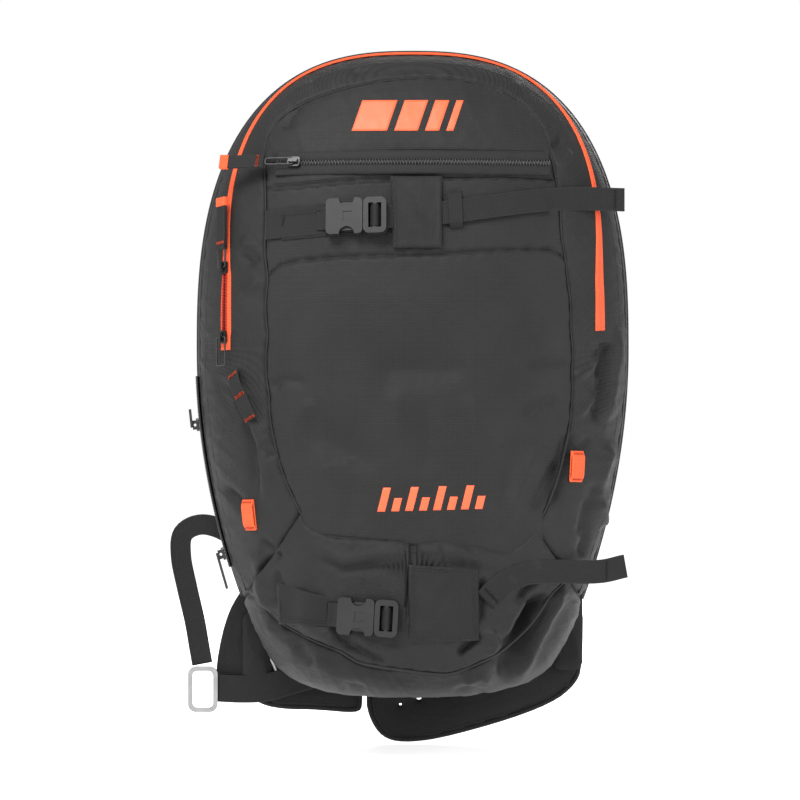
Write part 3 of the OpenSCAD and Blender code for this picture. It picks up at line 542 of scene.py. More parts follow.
def cloth_panel(x, z, sewn, base=None, normals=None, puff=0.0, lift=0.0, lay=None, depth=SEAM_DEPTH,
                loose=1.0):
    """A cut panel over a grid of x and height, rolled under along its sewn edges."""
    flat = stack(x, wall_y(x, z), z) if base is None else base
    out = wall_normal(x, z) if normals is None else normals
    gaps = edge_gaps(flat, sewn)
    inward = gaps / (gaps + 18)
    pucker = 0.55 * np.exp(-gaps / 9) * np.sin(x * 0.41 + 3 * np.sin(z * 0.07)) * np.sin(z * 0.37 + 2 * np.sin(x * 0.05))
    height = (lift + loose * cloth_height(x,
                                          z) * hump(gaps / 6 + 0.15) + puff * np.sqrt(inward) * 1.2 + pucker
              - depth * (1 - hump(gaps / SEAM_WIDTH)) ** 1.5)
    front = flat + out * height[..., None]
    lays = stack(x, z, gaps) if lay is None else np.concatenate([lay, gaps[..., None]], -1)
    return front, front - out * CLOTH_T, lays


# Where the front panel is sewn into the sides (x, height), clockwise from the top
SEAM = np.array(
[
    (30, 530), (-12, 529), (-45, 524), (-83, 513), (-110, 500), (-120, 488), (-126, 464),
    (-125, 434), (-124, 407), (-122, 357), (-122, 309), (-121, 259), (-116, 218), (-110, 195),
    (-99, 170), (-88, 150), (-69, 141), (-41, 140), (-11, 139), (23, 139), (57, 135),
    (76, 126), (91, 135), (104, 149), (118, 178), (127, 208), (131, 227), (134, 255),
    (134, 280), (133, 316), (130, 358), (125, 394), (122, 439), (116, 468), (109, 491),
    (93, 509), (73, 521), (54, 526)]
)
seam_angle = np.unwrap(np.arctan2(SEAM[:, 1] - SHOULDER, SEAM[:, 0]))
order = np.argsort(np.mod(seam_angle, 2 * math.pi))
seam_turn = np.mod(seam_angle, 2 * math.pi)[order]
seam_size = np.hypot(SEAM[:, 0], SEAM[:, 1] - SHOULDER)[order]


def seam_reach(a):
    total = 0
    for step in np.radians([-2.4, -1.2, 0, 1.2, 2.4]):
        total = total + np.interp(np.mod(np.asarray(a) + step, 2 * math.pi), seam_turn, seam_size,
                                  period=2 * math.pi)
    return total / 5


seam_x, seam_z = polar(np.radians(np.arange(-90, 270, 0.5)), seam_reach(np.radians(np.arange(-90, 270, 0.5))))
right_side = (np.arange(-90, 270, 0.5) > -52) & (np.arange(-90, 270, 0.5) < 88)
left_side = (np.arange(-90, 270, 0.5) > 92) & (np.arange(-90, 270, 0.5) < 236)


def seam_left(z):
    pick = np.argsort(seam_z[left_side])
    return np.interp(z, seam_z[left_side][pick], seam_x[left_side][pick])


def seam_right(z):
    pick = np.argsort(seam_z[right_side])
    return np.interp(z, seam_z[right_side][pick], seam_x[right_side][pick])


def cross_line(line):
    """A seam across the front panel, as a function of x, from a few of its points."""
    line = np.array(line, float)
    return lambda x: np.interp(x, line[:, 0], line[:, 1])


def between(low, high, cols, rows):
    """Grid of x and height between two cross seams, from the left side seam to the right one."""
    u = np.linspace(0, 1, 3)
    grid_x, grid_z = [], []
    for v in rows:
        x = np.zeros(len(cols)) + np.linspace(-120, 120, len(cols))
        for _ in range(12):
            z = low(x) * (1 - v) + high(x) * v
            x = seam_left(z) * (1 - cols) + seam_right(z) * cols
        grid_x.append(x)
        grid_z.append(low(x) * (1 - v) + high(x) * v)
    return np.array(grid_x), np.array(grid_z)


# Cross seams of the front panel: over the pocket's zip, under it, top of the large panel, and its hem
over_zip = cross_line([(-134, 456), (-106, 458), (-62, 460), (-11, 462), (30, 463), (74, 463), (138, 462)])
under_zip = cross_line([(-134, 434), (-96, 436), (-62, 439), (-11, 442), (30, 443), (74, 444), (138, 442)])
big_top = cross_line([
    (-134, 348), (-121, 361), (-111, 369), (-96, 372), (-62, 375), (30, 378), (74, 381),
    (115, 382), (123, 378), (131, 371)])
hem = cross_line([
    (-134, 143), (-69, 140), (-11, 135), (31, 128), (57, 124), (76, 122), (91, 126),
    (112, 133), (138, 144)])

front_cols = spread(246, 2.0)
shield_parts = []
for low, high, length, puff, loose in (
    (under_zip, over_zip, 24, 0.5, 0.25),
    (big_top, under_zip, 62, 0.8, 0.55),
    (hem, big_top, 238, 1.6, 0.8),
):
    x, z = between(low, high, front_cols, spread(length, 2.0))
    shield_parts.append(sheet_parts(*cloth_panel(x, z, (1, 1, 1, 1), puff=puff, loose=loose)))
front_panel = joined("front_panel_cloth", shield_parts, ripstop)
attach(front_panel, "pack")
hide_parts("front_panel")

# Top front pocket: a crowned panel over the crown, which carries the first printed mark
turns = np.radians(np.linspace(0, 180, 161))
arch_a = np.radians(np.linspace(math.degrees(math.atan2(over_zip(122) - SHOULDER, 118)),
                                180 - math.degrees(math.atan2(over_zip(-122) - SHOULDER, 124)), 141))
arch_x, arch_z = polar(arch_a[::-1], seam_reach(arch_a[::-1]))
foot_x = np.linspace(arch_x[0], arch_x[-1], len(arch_x))
foot_x = foot_x * 0.55 + arch_x * 0.45
foot_z = over_zip(foot_x)
rise = spread(66, 1.8)[:, None]
x, z = foot_x * (1 - rise) + arch_x * rise, foot_z * (1 - rise) + arch_z * rise
pocket_face = joined("top_pocket_cloth",
                     [sheet_parts(*cloth_panel(x, z, (1, 1, 0, 0), puff=3.2, loose=0.9))], ripstop)
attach(pocket_face, "pack")
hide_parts("top_pocket")


# Sides: the gusset, and the airbag cover that wraps its outer edge and tears open along its hidden closure
def rim_grid(angles, swing):
    """Grid from the bag's outline inwards: swing is 0 at the outline and grows over the wall, for each angle."""
    level = np.cos(swing) ** (2 / FULL)
    a = np.broadcast_to(angles, level.shape)
    r = reach(a, level)
    x, z = polar(a, r)
    depth = BASE_D + (TOP_D - BASE_D) * z / BODY_H
    y = -BACK - depth * np.sin(swing) ** (2 / FULL)
    base = stack(x, y, z)
    over = np.gradient(base, axis=1)
    down = np.gradient(base, axis=0)
    normals = unit(np.cross(over, down))
    middle = np.array([0.0, 0.0, SHOULDER])
    flip = np.sign(np.sum(normals * (base - middle), -1, keepdims=True))
    normals = normals * np.where(flip == 0, 1, flip)
    lay = np.stack([x - (y + BACK) * np.cos(a), z - (y + BACK) * np.abs(np.sin(a))], -1)
    return x, z, base, normals, lay


def swing_at(a, r):
    return np.arccos(np.clip(share(*polar(a, r)), 0, 1) ** (FULL / 2))


BASE_TURN = 56
COVER_LEVEL = 0.985
cover_swing = math.acos(COVER_LEVEL ** (FULL / 2))
side_angles = np.radians(np.linspace(-BASE_TURN, 180 + BASE_TURN, 620))
rows = spread(36, 2.4)[:, None]
x, z, base, normals, lay = rim_grid(side_angles[None, :], rows * cover_swing * np.ones((1, len(side_angles))))
cover = joined("airbag_cover_cloth",
               [sheet_parts(*cloth_panel(x, z, (1, 1, 1, 1), base, normals, puff=0.9, lay=lay,
                                                               loose=0.35))], smooth_cloth)
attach(cover, "pack")
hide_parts("airbag_cover")

inner_swing = swing_at(side_angles, seam_reach(side_angles))
rows = spread(74, 1.9)[:, None]
x, z, base, normals, lay = rim_grid(side_angles[None, :],
                                    cover_swing + rows * (inner_swing - cover_swing)[None, :])
gusset = joined("gusset_cloth",
                [sheet_parts(*cloth_panel(x, z, (1, 1, 1, 1), base, normals, puff=1.2, lay=lay))], ripstop)
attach(gusset, "pack")
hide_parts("gusset")

# Base: a tougher coated cloth under the pack, and the bellows pocket over it, whose hem hangs in a shallow curve
pocket_hem = np.array([
    (-162, 106), (-149, 99), (-131, 86), (-110, 67), (-61, 46), (-45, 36), (-11, 31), (31, 27),
    (45, 32), (72, 44), (99, 67), (116, 92), (130, 104)])
hem_turn = np.mod(np.arctan2(pocket_hem[:, 1] - SHOULDER, pocket_hem[:, 0]), 2 * math.pi)
hem_size = np.hypot(pocket_hem[:, 0], pocket_hem[:, 1] - SHOULDER)


def hem_reach(a):
    total = 0
    for step in np.radians([-1.2, -0.4, 0.4, 1.2]):
        total = total + np.interp(np.mod(a + step, 2 * math.pi), hem_turn, hem_size)
    return total / 4


base_angles = np.radians(np.linspace(180 + BASE_TURN, 360 - BASE_TURN, 330))
hem_swing = swing_at(base_angles, hem_reach(base_angles))
rows = spread(150, 2.4)[:, None]
x, z, base, normals, lay = rim_grid(base_angles[None, :], rows * hem_swing[None, :])
bottom = joined("base_cloth", [sheet_parts(*cloth_panel(x, z, (1, 1, 1, 1), base, normals, puff=1.0, lay=lay,
                                                        loose=0.7))], base_cloth)
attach(bottom, "pack")
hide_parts("base_panel")

seam_low_swing = swing_at(base_angles, seam_reach(base_angles))
rows = spread(70, 1.4)[:, None]
x, z, base, normals, lay = rim_grid(base_angles[None, :],
                                    hem_swing[None, :] + rows * (seam_low_swing - hem_swing)[None, :])
bellows = joined("lower_pocket_cloth",
                 [sheet_parts(*cloth_panel(x, z, (1, 1, 1, 1), base, normals, puff=3.0, lift=1.2, lay=lay,
                                           loose=1.1))], ripstop)
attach(bellows, "pack")
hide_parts("lower_pocket")


# Piping and stitching on the shell: a folded tape round a cord covers each long seam, and doubled thread runs beside it
def smooth_path(points, per=4, closed=False):
    """Points of a smooth curve through a short list of points."""
    p = np.array(points, float)
    if closed:
        p = np.concatenate([p[-1:], p, p[:2]])
    else:
        p = np.concatenate([2 * p[:1] - p[1:2], p, 2 * p[-1:] - p[-2:-1]])
    made = []
    for a, b, c, d in zip(p, p[1:], p[2:], p[3:]):
        for t in np.arange(per) / per:
            made.append(0.5 * (2 * b + (c - a) * t + (2 * a - 5 * b + 4 * c - d) * t * t + (3 * b - a - 3 * c + d) * t ** 3))
    if not closed:
        made.append(p[-2])
    return np.array(made)


def tangents(path, closed=False):
    if closed:
        return unit(np.roll(path, -1, 0) - np.roll(path, 1, 0))
    return unit(np.gradient(path, axis=0))


def tube_parts(path, size, sides=8, closed=False, flat=1.0, face=None):
    """A round or flattened cord along a path; size is its diameter, or one for each point."""
    path = np.asarray(path, float)
    along = tangents(path, closed)
    size = np.broadcast_to(size, (len(path),))
    if face is None:
        first = np.array([0, 1.0, 0]) if abs(along[0][1]) < 0.9 else np.array([1.0, 0, 0])
        sides_u = []
        for t in along:
            first = first - t * (first @ t)
            first = first / np.linalg.norm(first)
            sides_u.append(first)
        u = np.array(sides_u)
    else:
        u = np.broadcast_to(face, path.shape)
        u = unit(u - along * np.sum(u * along, -1, keepdims=True))
    v = np.cross(along, u)
    turn = np.arange(sides) * 2 * np.pi / sides
    ring = (u[:, None] * np.cos(turn)[None, :, None] * flat + v[:, None] * np.sin(turn)[None, :,
            None]) * size[:, None, None] / 2
    points = (path[:, None] + ring).reshape(-1, 3)
    run = np.concatenate([[0], np.cumsum(np.linalg.norm(np.diff(path, axis=0), axis=1))])
    lay = np.stack([np.tile(turn * 2, len(path)), np.repeat(run, sides), np.full(len(points), 60.0)], -1)
    faces, n = [], len(path)
    for i in range(n if closed else n - 1):
        for k in range(sides):
            a, b, m = i * sides, ((i + 1) % n) * sides, (k + 1) % sides
            faces.append((a + k, a + m, b + m, b + k))
    if not closed:
        faces += [tuple(range(sides))[::-1], tuple(range((n - 1) * sides, n * sides))]
    return points, faces, lay


def strap_parts(path, face, width, thick):
    """Flat webbing along a path with woven edges; face is the way its broad side looks, for all points or for each."""
    path = np.asarray(path, float)
    along = tangents(path)
    face = np.broadcast_to(face, path.shape).astype(float)
    face = unit(face - along * np.sum(face * along, -1, keepdims=True))
    over = np.cross(face, along)
    width = np.broadcast_to(width, (len(path),))
    places = np.array([-1, -0.985, -0.95, -0.88, -0.8, -0.5, 0, 0.5, 0.8, 0.88, 0.95, 0.985, 1])
    half = thick / 2 * np.array([0.25, 0.7, 1.05, 1.12, 0.95, 1, 1, 1, 0.95, 1.12, 1.05, 0.7, 0.25])
    ring_u = np.concatenate([places, places[::-1]])
    ring_h = np.concatenate([half, -half[::-1]])
    points = (path[:, None] + over[:, None] * (ring_u[None, :, None] * width[:, None, None] / 2)
              + face[:, None] * ring_h[None, :, None])
    run = np.concatenate([[0], np.cumsum(np.linalg.norm(np.diff(path, axis=0), axis=1))])
    lay = np.stack(np.broadcast_arrays(ring_u[None, :] * width[:, None] / 2, run[:, None],
                                       (1 - np.abs(ring_u))[None, :] * width[:, None] / 2), -1)
    n, k = len(path), len(ring_u)
    faces = grid_faces(n, k, 0, True) + [tuple(range(k)), tuple(range((n - 1) * k, n * k))[::-1]]
    return points.reshape(-1, 3), faces, lay.reshape(-1, 3)


def thread_parts(path, face, pitch=3.4, length=2.5, size=0.5, lift=0.2):
    """A row of single stitches: short rounded lengths of thread that dip into the cloth at both ends."""
    path = np.asarray(path, float)
    run = np.concatenate([[0], np.cumsum(np.linalg.norm(np.diff(path, axis=0), axis=1))])
    face = np.broadcast_to(face, path.shape)
    parts = []
    for start in np.arange(0.3, run[-1] - length, pitch):
        spots = start + np.array([0, 0.12, 0.5, 0.88, 1]) * length
        line = np.stack([np.interp(spots, run, path[:, i]) for i in range(3)], -1)
        out = unit(np.stack([np.interp(spots, run, face[:, i]) for i in range(3)], -1))
        line = line + out * np.array([[-0.35], [lift * 0.5], [lift], [lift * 0.5], [-0.35]])
        parts.append(tube_parts(line, size * np.array([0.7, 1, 1.1, 1, 0.7]), 5))
    return parts


def shell_point(x, z, out=0.0):
    """A point that lies on the finished cloth, and the way the cloth faces there."""
    x, z = np.asarray(x, float), np.asarray(z, float)
    normal = wall_normal(x, z)
    return stack(x, wall_y(x, z), z) + normal * (np.asarray(cloth_height(x, z)) + out)[..., None], normal


def thread_shade(name, dark, light):
    s = Shade(name)
    lay, across, along, edge = lay_axes(s)
    twist = ((along * 5.2 + across * 1.4).sine() * 0.5 + 0.5)
    return s.surface(s.mix(twist, dark, light), 0.62 - twist * 0.1, [(twist, 0.0001)], sheen=0.03,
                     specular=0.16)


black_thread = thread_shade("black_thread", grey(0.010), grey(0.032))
orange = (0.78, 0.098, 0.031, 1)
orange_dark = (0.40, 0.030, 0.012, 1)
orange_thread = thread_shade("orange_thread", orange_dark, orange)


def piping_shade():
    s = Shade("piping_tape")
    lay, across, along, edge = lay_axes(s)
    rib = (along * 4.8).sine() * 0.5 + 0.5
    cloud = s.noise(lay, 0.05, 4.0)
    return s.surface(s.mix(rib * 0.3 + cloud * 0.6, grey(0.009), grey(0.026)), 0.55 + cloud * 0.12,
                     [(rib, 0.00008)], sheen=0.03, specular=0.16)


piping = piping_shade()
full_turn = np.radians(np.arange(0, 360, 0.75))
line_x, line_z = polar(full_turn, seam_reach(full_turn))
flat_line = stack(line_x, wall_y(line_x, line_z), line_z)
line_out = wall_normal(line_x, line_z)
piping_runs = [tube_parts(flat_line - line_out * 0.9, 1.9, 8, closed=True)]


def rim_line(level, lift, angles=side_angles[::2]):
    r = reach(angles, level)
    x, z = polar(angles, r)
    depth = BASE_D + (TOP_D - BASE_D) * z / BODY_H
    y = -BACK - depth * (1 - level ** FULL) ** (1 / FULL)
    base = stack(x, y, z)
    out = unit(np.cross(tangents(base), np.cross(wall_normal(x, z), tangents(base))))
    out = wall_normal(x, z)
    return base + out * lift, out


edge_line, edge_out = rim_line(COVER_LEVEL, -0.3)
piping_runs.append(tube_parts(edge_line, 3.0, 8))
edge_line, edge_out = rim_line(0.9985, 0.4)
piping_runs.append(tube_parts(edge_line, 3.2, 8))
inner_edge, inner_out = rim_line(0.951, 0.35)
inner_edge = inner_edge + inner_out * cloth_height(inner_edge[:, 0], inner_edge[:, 2])[:, None] * 0.9
piping_runs.append(tube_parts(inner_edge, 2.0, 8))
piped = joined("shell_piping", piping_runs, piping)
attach(piped, "pack")

low_x, low_z = polar(base_angles, hem_reach(base_angles))
low_line = stack(low_x, wall_y(low_x, low_z), low_z)
low_out = wall_normal(low_x, low_z)
low_piping = joined("pocket_hem_piping", [tube_parts(low_line + low_out * 0.4, 2.4, 8)], piping)
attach(low_piping, "pack")

runs = []
for offset in (-3.4, 3.2):
    ox, oz = polar(full_turn, seam_reach(full_turn) + offset)
    at, out = shell_point(ox, oz, -0.15)
    runs += thread_parts(at, out)
for low in (over_zip, under_zip, big_top, hem):
    cx = np.linspace(-118, 122, 160)
    keep = (cx > seam_left(low(cx)) + 3) & (cx < seam_right(low(cx)) - 3)
    for shift in (-3.0, 3.0):
        at, out = shell_point(cx[keep], low(cx[keep]) + shift, 0.25)
        runs += thread_parts(at, out)
stitched = joined("shell_stitching", runs, black_thread)
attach(stitched, "pack")

# Printed marks: two plain rows of geometric shapes in orange ink, screen printed on the cloth
INK_T = 0.35


def ink_shade():
    s = Shade("orange_ink")
    lay, across, along, edge = lay_axes(s)
    weave = ((along * 3.7).sine() * 0.5 + 0.5) * 0.6 + ((across * 7.0).sine() * 0.5 + 0.5) * 0.4
    cloud = s.noise(lay, 0.12, 4.0)
    return s.surface(s.mix(weave * 0.25 + cloud * 0.3, (0.80, 0.112, 0.036, 1), (0.62, 0.072, 0.024, 1)),
                     0.5 + cloud * 0.1,
                     [(weave, 0.00006)])


ink = ink_shade()


def lies_on(piece):
    """A function that gives where a piece's outer face is, straight in from the front."""
    tree = BVHTree.FromPolygons([v.co for v in piece.data.vertices],
                                [p.vertices for p in piece.data.polygons])

    def depth(x, z):
        found = tree.ray_cast(Vector((x / 1000, -0.5, (z + FLOOR) / 1000)), Vector((0, 1, 0)), 1.0)[0]
        return wall_y(x, z) - 3 if found is None else found.y * 1000
    return depth


def printed(corners, depth, cells=(14, 8), raised=0.28):
    """A four-cornered printed shape (low left, low right, top right, top left) laid on a piece of cloth."""
    a, b, c, d = [np.array(p, float) for p in corners]
    u, v = np.meshgrid(np.linspace(0, 1, cells[0]), np.linspace(0, 1, cells[1]))
    spots = ((1 - v)[..., None] * ((1 - u)[..., None] * a + u[..., None] * b)
             + v[..., None] * ((1 - u)[..., None] * d + u[..., None] * c))
    y = np.array([[depth(x, z) for x, z in row] for row in spots])
    at = stack(spots[..., 0], y - raised, spots[..., 1])
    return sheet_parts(at, at + [0, INK_T + raised, 0], stack(spots[..., 0], spots[..., 1], 60.0))


on_pocket, on_front = lies_on(pocket_face), lies_on(front_panel)
bars = []
for start, width in ((0, 30), (36, 20), (62, 12), (80, 6)):
    x0, z0 = -52 + start, 482.5
    bars.append(printed([(x0, z0), (x0 + width, z0), (x0 + width + 9, z0 + 27), (x0 + 9, z0 + 27)], on_pocket,
                        (max(5, width // 2), 14)))
top_mark = joined("top_mark_print", bars, ink)
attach(top_mark, "pack")

bars = []
for i in range(8):
    x0, z0 = -30 + i * 11.6, 162 + i * 0.3
    tall = 20 if i % 2 == 0 else 11
    bars.append(printed([(x0, z0), (x0 + 6.5, z0), (x0 + 6.5 + tall * 0.25, z0 + tall),
                         (x0 + tall * 0.25, z0 + tall)], on_front,
                        (6, 10)))
low_mark = joined("low_mark_print", bars, ink)
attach(low_mark, "pack")


# ---- Zips ----
# Coil zips sewn into the shell: black in the pocket, orange over the arch, black on the left edge. A woven tape
# carries a row of nylon teeth, which meet under a slider.
def zip_tape_shade(name, dark, light):
    s = Shade(name)
    lay, across, along, edge = lay_axes(s)
    rib = (along * (2 * math.pi / 1.3)).sine() * 0.5 + 0.5
    cord = (across * (2 * math.pi / 1.1)).sine() * 0.5 + 0.5
    cloud = s.noise(lay, 0.08, 4.0)
    worn = (1 - edge / 1.2).at_least(0)
    return s.surface(s.mix((rib * 0.3 + cloud * 0.45 + worn * 0.3).at_most(1), dark, light),
                     0.58 + cloud * 0.15,
                     [(rib * 0.6 + cord * 0.5, 0.00016)], sheen=0.03, specular=0.16)


black_tape = zip_tape_shade("black_zip_tape", grey(0.0085), grey(0.024))
orange_tape = zip_tape_shade("orange_zip_tape", (0.60, 0.062, 0.022, 1), (0.86, 0.128, 0.042, 1))
# A darker copy of the orange tape for the teeth in the open part of the main zip: painted shade in the gap between the
# sliders.
shaded_orange_tape = zip_tape_shade("shaded_orange_zip_tape", (0.26, 0.018, 0.010, 1), (0.50, 0.036, 0.018, 1))


def tooth_shade(name, dark, light, rough):
    s = Shade(name)
    place = s.node("ShaderNodeTexCoord", None, None, "Object")
    fine = s.noise(place, 900.0, 3.0)
    wide = s.noise(place, 60.0, 3.0)
    return s.surface(s.mix(fine * 0.5 + wide * 0.4, dark, light), rough + fine * 0.12, [(fine, 0.00008)],
                     coat=0.15)


black_coil = tooth_shade("black_coil", grey(0.010), grey(0.034), 0.36)
orange_coil = tooth_shade("orange_coil", (0.42, 0.034, 0.014, 1), (0.74, 0.085, 0.03, 1), 0.42)


def teeth_parts(path, over, out, pitch, width, size):
    """Zip teeth: a short rounded bar across the zip at every pitch, left and right in turn."""
    path = np.asarray(path, float)
    run = np.concatenate([[0], np.cumsum(np.linalg.norm(np.diff(path, axis=0), axis=1))])
    parts = []
    for i, at in enumerate(np.arange(pitch / 2, run[-1], pitch)):
        spot = np.array([np.interp(at, run, path[:, k]) for k in range(3)])
        o = unit(np.array([np.interp(at, run, out[:, k]) for k in range(3)]))
        w = unit(np.array([np.interp(at, run, over[:, k]) for k in range(3)]))
        side = (i % 2) * 2 - 1
        line = [spot + w * (width * (t - 0.5) + side * width * 0.16) + o * h
                for t, h in ((0, -size * 0.5), (0.08, size * 0.2), (0.5, size * 0.42), (0.92, size * 0.2),
                             (1, -size * 0.5))]
        parts.append(tube_parts(np.array(line), size * np.array([0.8, 1, 1.05, 1, 0.8]), 6))
    return parts


# Pocket zip, on its level arc across the front
ZIP_R, ZIP_Z, ZIP_LEAN, ZIP_LIFT, TAPE_W, TAPE_T = 331.0, 455.0, math.radians(19), 0.8, 18.0, 1.2
ZIP_AXIS_Y = ZIP_R - 129.3


def zip_arc(turn, across, out):
    """A point of the pocket zip: turn round its arc, up across the tape, and out from it."""
    r = ZIP_R + out * math.cos(ZIP_LEAN) - across * math.sin(ZIP_LEAN)
    return stack(r * np.cos(turn), ZIP_AXIS_Y + r * np.sin(turn),
                 ZIP_Z + out * math.sin(ZIP_LEAN) + across * math.cos(ZIP_LEAN))


zip_turn = np.radians(np.linspace(249.6, 290.4, 120))
tape_runs = []
for low, high in ((-TAPE_W / 2 - 1.5, -1.3), (1.3, TAPE_W / 2 + 1.5)):
    ups = np.linspace(low, high, 7)[:, None]
    rise = 0.9 * np.sin(np.linspace(0, math.pi, 7))[:, None]
    inner = np.minimum(np.abs(ups - low), np.abs(ups - high))
    face = zip_arc(zip_turn[None, :], ups, ZIP_LIFT + 0.6 + rise)
    back = zip_arc(zip_turn[None, :], ups, ZIP_LIFT - 0.6 + rise)
    lay = stack(ups, (zip_turn * ZIP_R)[None, :], inner)
    tape_runs.append(sheet_parts(face, back, lay))
under = zip_arc(zip_turn[None, :], np.linspace(-2.4, 2.4, 3)[:, None], ZIP_LIFT + 0.1)
tape_runs.append(sheet_parts(under, under - [0, -0.6, 0],
                             stack(np.zeros((3, 1)), (zip_turn * ZIP_R)[None, :], 9.0)))
pocket_tape = joined("front_zip_tape", tape_runs, black_tape)
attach(pocket_tape, "pack")
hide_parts("front_zip")
mid = zip_arc(zip_turn, 0.0, ZIP_LIFT + 1.3)
up_way = zip_arc(zip_turn, 1.0, 0.0) - zip_arc(zip_turn, 0.0, 0.0)
out_way = zip_arc(zip_turn, 0.0, 1.0) - zip_arc(zip_turn, 0.0, 0.0)
pocket_coil = joined("front_zip_teeth", teeth_parts(mid, up_way, out_way, 1.25, 4.0, 0.95), black_coil)
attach(pocket_coil, "pack")

# Main zip over the arch: narrow where it turns over the crown, broad at its ends, and open between its sliders
MAIN_FROM, MAIN_TO, UPPER_AT, LOWER_AT = 5.0, 181.0, 157.0, 177.0


def main_lines(turns, across, out):
    """Points of the main zip at angles in degrees, across its half width and out from the wall, with the way it faces."""
    turns = np.asarray(turns, float)
    rise = np.where(turns < 90, turns, 180 - turns)
    half = 1.4 + 4 * (1 - hump((rise - 5) / 70))

    def spot(t, c):
        t = np.asarray(t, float)
        up = np.where(t < 90, t, 180 - t)
        r = reach(np.radians(t), 1.0) - (4 + 24 * (1 - hump((up - 18) / 52))) - c * (1.4 + 4 * (1 - hump((up - 5) / 70)))
        x, z = polar(np.radians(t), r)
        return stack(x, wall_y(x, z), z)

    way = unit(spot(turns + 0.5, 0) - spot(turns - 0.5, 0))
    over = unit(spot(turns, 0.2) - spot(turns, -0.2))
    face = unit(np.cross(way, over))
    face = face * np.sign(np.sum(face * [0, -1, 0], -1, keepdims=True))
    return spot(turns, 0) + over * (across * half)[...,
                                                   None] + face * (out if np.isscalar(out) else out[...,
                                                           None]), over, face


main_turns = np.linspace(MAIN_FROM, MAIN_TO, 300)
apart = hump((main_turns - UPPER_AT + 0.5) / 2.0) * (1 - hump((main_turns - LOWER_AT + 2.0) / 2.0))
run_length = np.concatenate([[0],
                             np.cumsum(np.linalg.norm(np.diff(main_lines(main_turns, np.zeros(300), 0)[0],
                                                              axis=0), axis=1))])
tape_runs = []
for side in (-1, 1):
    front_rows, back_rows, lays = [], [], []
    for k, u in enumerate(np.linspace(0.03, 1.12, 8)):
        gap = apart * 0.42 * (1 - u * 0.55)
        bulge = 1.0 * math.sin(math.pi * min(1, u)) ** 0.7 if u < 1 else 0
        at, over, face = main_lines(main_turns, side * (u + gap * (1 if side > 0 else 0.6)),
                                    1.5 + bulge + apart * 1.2 * (1 - u))
        front_rows.append(at)
        back_rows.append(at - face * 1.1)
        lays.append(stack(u * 6.0, run_length, min(abs(u - 0.03), abs(u - 1.12)) * 6 + 0 * run_length))
    tape_runs.append(sheet_parts(np.array(front_rows), np.array(back_rows), np.array(lays)))
main_tape = joined("main_zip_tape", tape_runs, orange_tape)
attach(main_tape, "pack")
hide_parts("main_zip")
closed_turns = np.linspace(MAIN_FROM + 0.4, UPPER_AT - 0.8, 320)
at, over, face = main_lines(closed_turns, np.zeros(320), 1.55)
size = 0.45 + 0.75 * (1 - hump((np.where(closed_turns < 90, closed_turns, 180 - closed_turns) - 5) / 70))
main_coil = joined("main_zip_teeth",
                   [tube_parts(at, size * 1.5, 8)] + teeth_parts(at[:90], over[:90], face[:90], 1.3, 2.0,
                           0.8), orange_coil)
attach(main_coil, "pack")
open_turns = np.linspace(UPPER_AT - 0.6, LOWER_AT + 0.4, 90)
open_gap = hump((open_turns - UPPER_AT + 0.5) / 2.0) * (1 - hump((open_turns - LOWER_AT + 2.0) / 2.0))
dark_runs = []
for side, shift in ((1, 0.50), (-1, 0.34)):
    at, over, face = main_lines(open_turns, side * open_gap * shift, 2.3 + open_gap * 0.9)
    dark_runs += teeth_parts(at, over, face, 1.25, 2.3, 0.95)
    dark_runs.append(tube_parts(at - face * 0.5, 1.7, 8))
# The open teeth and the cord under them take the darker orange copy of the tape: painted shade.
open_coil = joined("main_zip_open_teeth", dark_runs, shaded_orange_tape)
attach(open_coil, "pack")

# Side zip on the left edge, which reaches the airbag's compartment
SIDE_LEVEL = 0.992
side_turns = np.linspace(187.5, 230.5, 150)


def side_lines(turns, across, out):
    def spot(t):
        a = np.radians(t)
        x, z = polar(a, reach(a, SIDE_LEVEL))
        return stack(x, wall_y(x, z), z)
    way = unit(spot(turns + 0.5) - spot(turns - 0.5))
    face = unit(np.stack([way[:, 2], 0 * way[:, 0], -way[:, 0]], -1))
    return spot(turns) + face * out + np.array([0, 1.0, 0]) * across, np.broadcast_to([0, 1.0, 0],
            way.shape), face


side_run = np.concatenate([[0],
                           np.cumsum(np.linalg.norm(np.diff(side_lines(side_turns, 0, 0)[0], axis=0),
                                                    axis=1))])
tape_runs = []
for low, high in ((-8.5, -1.2), (1.2, 8.5)):
    rows_f, rows_b, lays = [], [], []
    for u in np.linspace(0, 1, 6):
        across = low + (high - low) * u
        at, over, face = side_lines(side_turns, across, 1.6 + 0.8 * math.sin(math.pi * u) + 0.9)
        rows_f.append(at)
        rows_b.append(at - face * 1.1)
        lays.append(stack(across, side_run, min(u, 1 - u) * 7 + 0 * side_run))
    tape_runs.append(sheet_parts(np.array(rows_f), np.array(rows_b), np.array(lays)))
side_tape = joined("side_zip_tape", tape_runs, black_tape)
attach(side_tape, "pack")
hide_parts("side_zip")
at, over, face = side_lines(side_turns, 0.0, 3.1)
side_coil = joined("side_zip_teeth", teeth_parts(at, over, face, 1.4, 4.4, 1.1), black_coil)
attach(side_coil, "pack")


